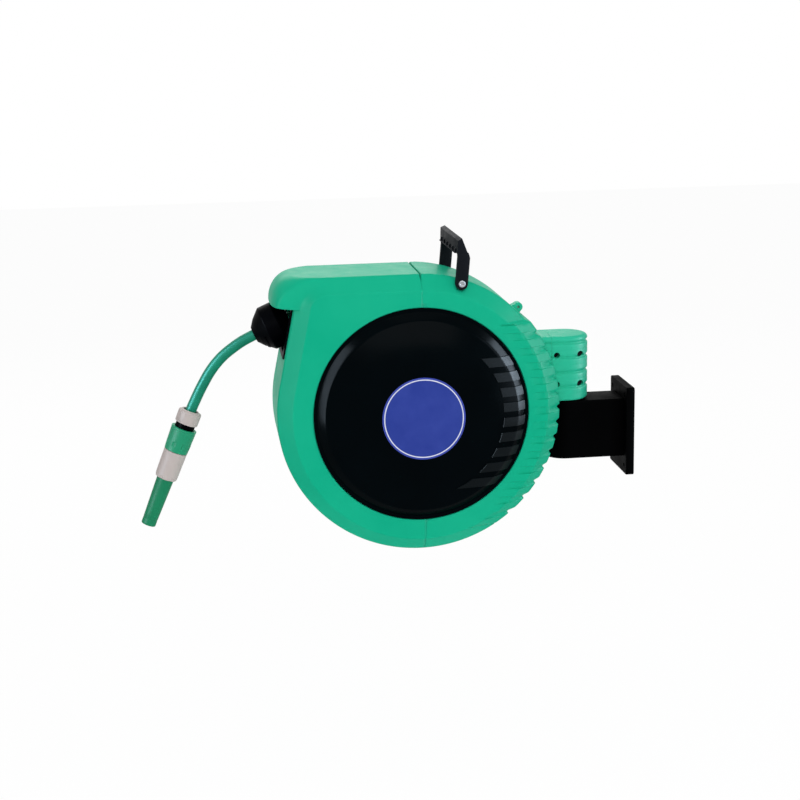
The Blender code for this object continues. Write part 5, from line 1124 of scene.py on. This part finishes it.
ringHeights = columnHeights(column)
swivelClamp(column, rear, ringHeights)
columnShape = Shape()
columnBody(columnShape, column, rear, ringHeights)
lugEar(columnShape, lug)
# The column takes its paler green, which is painted light.
columnShape.build("swivelColumn", "housing", ["rear_shell"], finish["column"], sharp=38)
print("column, clamp and lug done")


# Side covers: a turned dome with the label's seat, and level pads along the wall side
cover = dict(
    flange=0.1412, bevelOuter=0.1366, bevelInner=0.1262, labelSeat=0.0548, rise=0.020, bevelRise=0.0081, gap=0.0008,
    wall=0.0025, creaseHalf=0.0013, creaseDeep=0.00018, hubRadius=0.0155, hubEnd=0.062,
    padHeight=0.0014, padStart=0.106, padWidth=0.0132, padPitch=0.020, padPhase=-0.0118, padSoft=0.0006, padsEachWay=4,
    screwTurns=(32, 152, 272), screwCircle=0.1275, screwFront=0.0773, screwLength=0.018,
)


# Height over the housing's face: on the bevel from -gap to bevelRise by share ** 0.94, and on the dome
# bevelRise + (rise - bevelRise) * cos(90 degrees * share), where share runs from the label's seat to the bevel.
def coverRise(radius, c):
    radius = np.asarray(radius, float)
    bevel = np.clip((c["bevelOuter"] - radius) / (c["bevelOuter"] - c["bevelInner"]), 0, 1)
    dome = np.clip((radius - c["labelSeat"]) / (c["bevelInner"] - c["labelSeat"]), 0, 1)
    onBevel = -c["gap"] + (c["bevelRise"] + c["gap"]) * bevel ** 0.94
    onDome = c["bevelRise"] + (c["rise"] - c["bevelRise"]) * np.cos(dome * math.pi / 2)
    return np.where(radius >= c["bevelInner"], onBevel, onDome)


# Section (radius, along) of a cover: edge, outside with a fine crease at the bevel's inner end, seat, underside.
def coverProfile(c, centre):
    face, crest, seat = reel["faceHalf"], c["bevelInner"], c["labelSeat"]
    top = face + c["rise"]
    radii = np.concatenate([
        [c["flange"], 0.1400, 0.1375], np.linspace(c["bevelOuter"], crest + 0.0008, 9),
        np.linspace(crest + 0.0005, crest - 0.0012, 5), np.linspace(0.124, 0.0556, 30), [seat + 0.0001]])
    crease = c["creaseDeep"] * np.maximum(1 - np.abs(radii - crest) / c["creaseHalf"], 0)
    outer = np.column_stack([radii, face + coverRise(radii, c) - crease])
    floor = [(seat, top - 0.0003), (seat - 0.0001, top - 0.0006), (centre, top - 0.0006), (centre, top - c["wall"])]
    edge = [(c["flange"] - 0.0002, face - 0.0031), (c["flange"], face - 0.0028), (c["flange"], face - 0.0011)]
    under = [(r, face + float(coverRise(r, c)) - c["wall"]) for r in (0.0543, 0.0700, 0.0880, 0.1040, 0.1180)]
    return np.concatenate([edge, outer, floor, under, [(0.1325, face - 0.0031)], edge[:1]])


# A pad lies on the cover between two level lines, from x = sqrt(padStart ** 2 - z ** 2) to the bevel's outer edge,
# and its sides and ends drop under the cover's surface.
def coverPads(shape, side, c):
    half, across = c["padWidth"] / 2, 36
    sides = np.array([0, 0.4, 1]) * c["padSoft"]
    v = np.concatenate([sides - half, [-half / 2, 0, half / 2], half - sides[::-1]])
    lift = np.array([-0.6, 0.55, 1, 1, 1, 1, 1, 0.55, -0.6])
    ends = np.concatenate([[-0.6, 0.5, 1], np.ones(across - 4), [-0.3]])
    t = np.concatenate([[0, 0.012, 0.03], np.linspace(0.06, 0.985, across - 4), [1]])
    for index in range(-c["padsEachWay"], c["padsEachWay"] + 1):
        z = c["padPhase"] + c["padPitch"] * index + v
        start, end = np.sqrt(c["padStart"] ** 2 - z ** 2), np.sqrt((c["bevelOuter"] + 0.0006) ** 2 - z ** 2)
        x = start[:, None] + (end - start)[:, None] * t
        z = np.repeat(z[:, None], len(t), 1)
        height = coverRise(np.hypot(x, z), c) + c["padHeight"] * np.minimum(lift[:, None], ends)
        shape.grid(np.stack([x, side * (reel["faceHalf"] + height), z], 2) + axisPoint)


def sideCover(side, name, node, c, centre):
    profiles = [coverProfile(c, centre)]
    if centre:
        top = reel["faceHalf"] + c["rise"]
        profiles.append([(centre, top - 0.0006), (centre, c["hubEnd"]), (c["hubRadius"], c["hubEnd"]),
                         (c["hubRadius"], top - c["wall"])])
    turnedPiece(name, node, "housing", "cover", profiles, axisPoint, (0, side, 0), 180, sharp=28)
    pads = Shape()
    coverPads(pads, side, c)
    pads.build(name.replace("Cover", "Pads"), "housing", [node], finish["pads"], sharp=28)


sideCover(-1, "labelSideCover", "label_side_cover", cover, 0.0)
sideCover(1, "inletSideCover", "inlet_side_cover", cover, 0.0113)
turnedPiece("labelDisc", "label_disc", "housing", "label",
            [[(0, 0), (0.0535, 0), (0.0543, -0.00015), (0.0543, -0.0003), (0, -0.0003)]],
            (reel["axisX"], -reel["faceHalf"] - cover["rise"], reel["axisZ"]), (0, -1, 0), 160)
print("covers and label done")


# Wall bracket: a plate with four holes, and a hollow arm that ends in a socket for the swivel post
bracket = dict(
    halfWidth=0.0435, halfHeight=0.0605, thick=0.011, corner=0.004, hole=0.0032, holeY=0.032, holeZ=0.049,
    soft=0.0011, armHalf=0.026, armTop=0.0425, armLow=-0.0375, wall=0.004, armSoft=0.0016, armFootSoft=0.0006,
    socket=0.0103, socketDeep=0.030, boss=0.015, bossWall=0.004,
)


# Plan of the arm: two straight sides and a half circle round the pivot.
def armPlan(half, back):
    end = circlePoints((reel["pivotX"], 0.0), half, 36, math.pi / 2, 3 * math.pi / 2, closed=False)
    side = np.linspace(back, reel["pivotX"], 8)[:-1, None]
    return np.concatenate([np.hstack([side, side * 0 + half]), end, np.hstack([side[::-1], side * 0 - half])])


def wallBracket(b):
    shape = Shape()
    width, height = b["halfWidth"], b["halfHeight"]
    corners = roundedPath([(width, 0), (width, height), (-width, height), (-width, -height), (width, -height),
                           (width, 0)], b["corner"], 7)[:-1]
    holes = [circlePoints((y * b["holeY"], z * b["holeZ"]), b["hole"], 28) for y in (-1, 1) for z in (-1, 1)]
    bevelledPlate(shape, corners, holes, -b["thick"], 0.0, b["soft"], lambda p, level: planView(p, level)[:, [2, 0, 1]])
    low, top, foot, soft, half = b["armLow"], b["armTop"], b["armFootSoft"], b["armSoft"], b["armHalf"]
    back = -b["thick"] + 0.0004
    bend = np.linspace(0, math.pi / 2, 6)
    levels = [(low + foot * (1 - math.sin(a)), foot * (1 - math.cos(a))) for a in bend[::-1]]
    levels += [(z, 0.0) for z in np.linspace(low + 0.001, top - soft - 0.0005, 8)]
    levels += [(top - soft * (1 - math.sin(a)), soft * (1 - math.cos(a))) for a in bend]
    rings = np.array([planView(armPlan(half - inset, back), z) for z, inset in levels])
    shape.grid(rings)
    middle = (reel["pivotX"], 0.0)
    shape.flat([rings[-1][:, :2], circlePoints(middle, b["socket"], 40)], lambda p: planView(p, top))
    hollow = armPlan(half - b["wall"], -b["thick"] - b["wall"])
    ceiling = top - b["wall"]
    shape.grid(np.array([planView(hollow, z) for z in (low, low + 0.02, 0.0, ceiling)]), wrapCols=True)
    shape.flat([hollow, circlePoints(middle, b["boss"], 40)], lambda p: planView(p, ceiling))
    rim = np.concatenate([rings[0][:, :2], [[back, foot - half], [back, half - foot]]])
    shape.flat([rim, hollow], lambda p: planView(p, low))
    boss, socket, floor = b["boss"], b["socket"], top - b["socketDeep"]
    under = floor - b["bossWall"]
    for profile in ([(boss, ceiling), (boss, under + 0.0005), (boss - 0.0005, under), (0, under)],
                    [(socket, top), (socket, floor), (0, floor)]):
        turnedSurface(shape, profile, (*middle, 0.0), (0, 0, 1), 40)
    shape.build("wallBracket", "bracket", ["wall_bracket"], finish["bracket"], sharp=35)


wallBracket(bracket)
print("bracket done")


# Carry handle: two legs with round feet, and a cross bar with finger posts and a lip under it on its front. Across
# and up are measured from the pivot, before the handle leans.
def carryHandle(h):
    shape = Shape()
    lean = math.radians(h["lean"])
    cosLean, sinLean = math.cos(lean), math.sin(lean)

    def place(corners):
        across, up = np.array(corners).T
        return np.column_stack([across * cosLean + up * sinLean, up * cosLean - across * sinLean]) + h["pivot"]

    half, slant, length, low = h["legHalf"], h["slant"], h["length"], h["length"] - h["barHeight"]
    back, front = half - 0.0024, -half - 0.0009
    leg = np.concatenate([
        place(circlePoints((0, 0), half, 25, math.pi, 2 * math.pi, closed=False)),
        place([(half, slant), (back, low + 0.002), (front, low + 0.002), (-half, slant)])])
    eye = circlePoints(h["pivot"], h["eye"], 24)
    inner = h["half"] - h["legThick"]
    for near, far in ((-h["half"], -inner), (inner, h["half"])):
        bevelledPlate(shape, leg, [eye], near, far, h["soft"], sideView)
    bar = place([(back - 0.0002, low), (-half * 0.55, length), (-half - 0.002, length - 0.003), (front, low)])
    bevelledPlate(shape, bar, [], -h["half"], h["half"], h["soft"], sideView)
    post = place([(-half - 0.0012, low), (-half - 0.0030, low + 0.0005), (-half - 0.0030, low + 0.0052),
                  (-half - 0.0012, low + 0.0056)])
    for y in np.linspace(h["notchInset"] - inner, inner - h["notchInset"], h["notches"] + 1):
        bevelledPlate(shape, post, [], y - h["notchHalf"], y + h["notchHalf"], h["notchSoft"], sideView)
    lip = place([(-half - 0.0010, low - 0.0002), (-half - 0.0034, low - 0.0002), (-half - 0.0034, low + 0.0012),
                 (-half - 0.0010, low + 0.0014)])
    bevelledPlate(shape, lip, [], -inner, inner, h["notchSoft"], sideView)
    shape.build("carryHandle", "handle", ["carry_handle"], finish["handle"], sharp=40)


carryHandle(handle)
print("handle done")


# Screws of the clamp, the handle and the inlet-side cover
clampPlaces = [(x, z) for z in column["screwZ"] for x in (-column["screwSide"], column["screwSide"])]
for number, (x, z) in enumerate(clampPlaces, 1):
    screwPiece(f"clampScrew{number}", f"clamp_screw_{number}", (reel["pivotX"] + x, -column["screwFront"], z),
               (0, 1, 0), column["screwLength"], screw["head"], "oxide")
for side, name in ((-1, "Label"), (1, "Inlet")):
    at = (handle["pivot"][0], side * handle["screwSide"], handle["pivot"][1])
    screwPiece(f"handleScrew{name}Side", f"handle_screw_{name.lower()}_side", at, (0, -side, 0),
               handle["screwLength"], screw["pivotHead"], "steel")
for number, turn in enumerate(np.radians(cover["screwTurns"]), 1):
    at = axisPoint + (cover["screwCircle"] * math.cos(turn), cover["screwFront"], cover["screwCircle"] * math.sin(turn))
    screwPiece(f"coverScrew{number}", f"cover_screw_{number}", at, (0, -1, 0), cover["screwLength"], screw["head"],
               "steel")
print("screws done")


# Fairlead: two lying and two standing rollers round the hose, each with a pin at both ends
rollers = dict(off=0.0158, lyingX=-0.438, standingX=-0.418, lyingHalf=0.037, standingHalf=0.0285, pinLength=0.003)


def roller(name, side, up, x, half, r):
    edge, end = half - 0.0005, half + r["pinLength"] - 0.0003
    above = [(0.0080, edge - 0.0004), (0.0076, edge), (0.0030, edge), (0.0030, end - 0.0003), (0.0027, end), (0, end)]
    below = [(radius, -along) for radius, along in above[::-1]]
    at = (x, side * r["off"], hoseLine["height"] + up * r["off"])
    plain = "".join("_" + c.lower() if c.isupper() else c for c in name)
    turnedPiece(f"{name}Roller", f"roller_{plain}", f"{plain}_guide", "acetal", [below + above], at,
                (0, abs(up), abs(side)), 48)


for name, up in (("lower", -1), ("upper", 1)):
    roller(name, 0, up, rollers["lyingX"], rollers["lyingHalf"], rollers)
for name, side in (("labelSide", -1), ("inletSide", 1)):
    roller(name, side, 0, rollers["standingX"], rollers["standingHalf"], rollers)

# Inlet: an elbow that turns down, and the click nipple in its end
inlet = dict(
    elbowAt=0.0947, branchAt=0.1082, nippleDrop=0.0383,
    elbow=[(0.0113, 0), (0.0160, 0), (0.0165, 0.0005), (0.0165, 0.0245), (0.0158, 0.0262), (0.0140, 0.0270),
           (0, 0.0270)],
    bore=[(0.0113, 0), (0.0113, 0.0165), (0, 0.0165)],
    branch=[(0.0130, 0.0090), (0.0130, 0.0374), (0.0124, 0.0380), (0.0065, 0.0380), (0.0065, 0.0090)],
    nipple=[(0.0050, 0), (0.0115, 0), (0.0115, 0.004), (0.0085, 0.0055), (0.0085, 0.0110), (0.0070, 0.0120),
            (0.0070, 0.0150), (0.0085, 0.0160), (0.0085, 0.0232), (0.0078, 0.0240), (0.0050, 0.0240), (0.0050, 0)],
)


def inletPieces(i):
    shape = Shape()
    for profile in (i["elbow"], i["bore"]):
        turnedSurface(shape, profile, axisPoint + (0, i["elbowAt"], 0), (0, 1, 0), 64)
    branchAt = axisPoint + (0, i["branchAt"], 0)
    turnedSurface(shape, i["branch"], branchAt, (0, 0, -1), 56)
    shape.build("inletElbow", "housing", ["inlet_elbow"], finish["inner"])
    turnedPiece("inletNipple", "inlet_nipple", "housing", "grey", [i["nipple"]],
                branchAt - (0, 0, i["nippleDrop"]), (0, 0, -1), 56)


inletPieces(inlet)
print("rollers and inlet done")


# Pieces inside keep the CAD form and get their looks
insideLooks = dict(
    inner=("fairlead_frame", "drum_half_label_side", "drum_half_inlet_side"),
    acetal=("axle_tube", "swivel_bush_lower", "swivel_bush_upper", "drum_bush_1", "drum_bush_2"),
    steel=("swivel_post", "spring_case", "spring_lid", "spring_arbor", "power_spring", "ratchet_wheel",
           "ratchet_pawl", "pawl_pin", "drum_screw_1", "drum_screw_2", "drum_screw_3"),
    brass=("swivel_block",),
    rubber=("swivel_seal_1", "swivel_seal_2"),
)
for look, names in insideLooks.items():
    for name in names:
        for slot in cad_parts[name].material_slots:
            slot.material = finish[look]
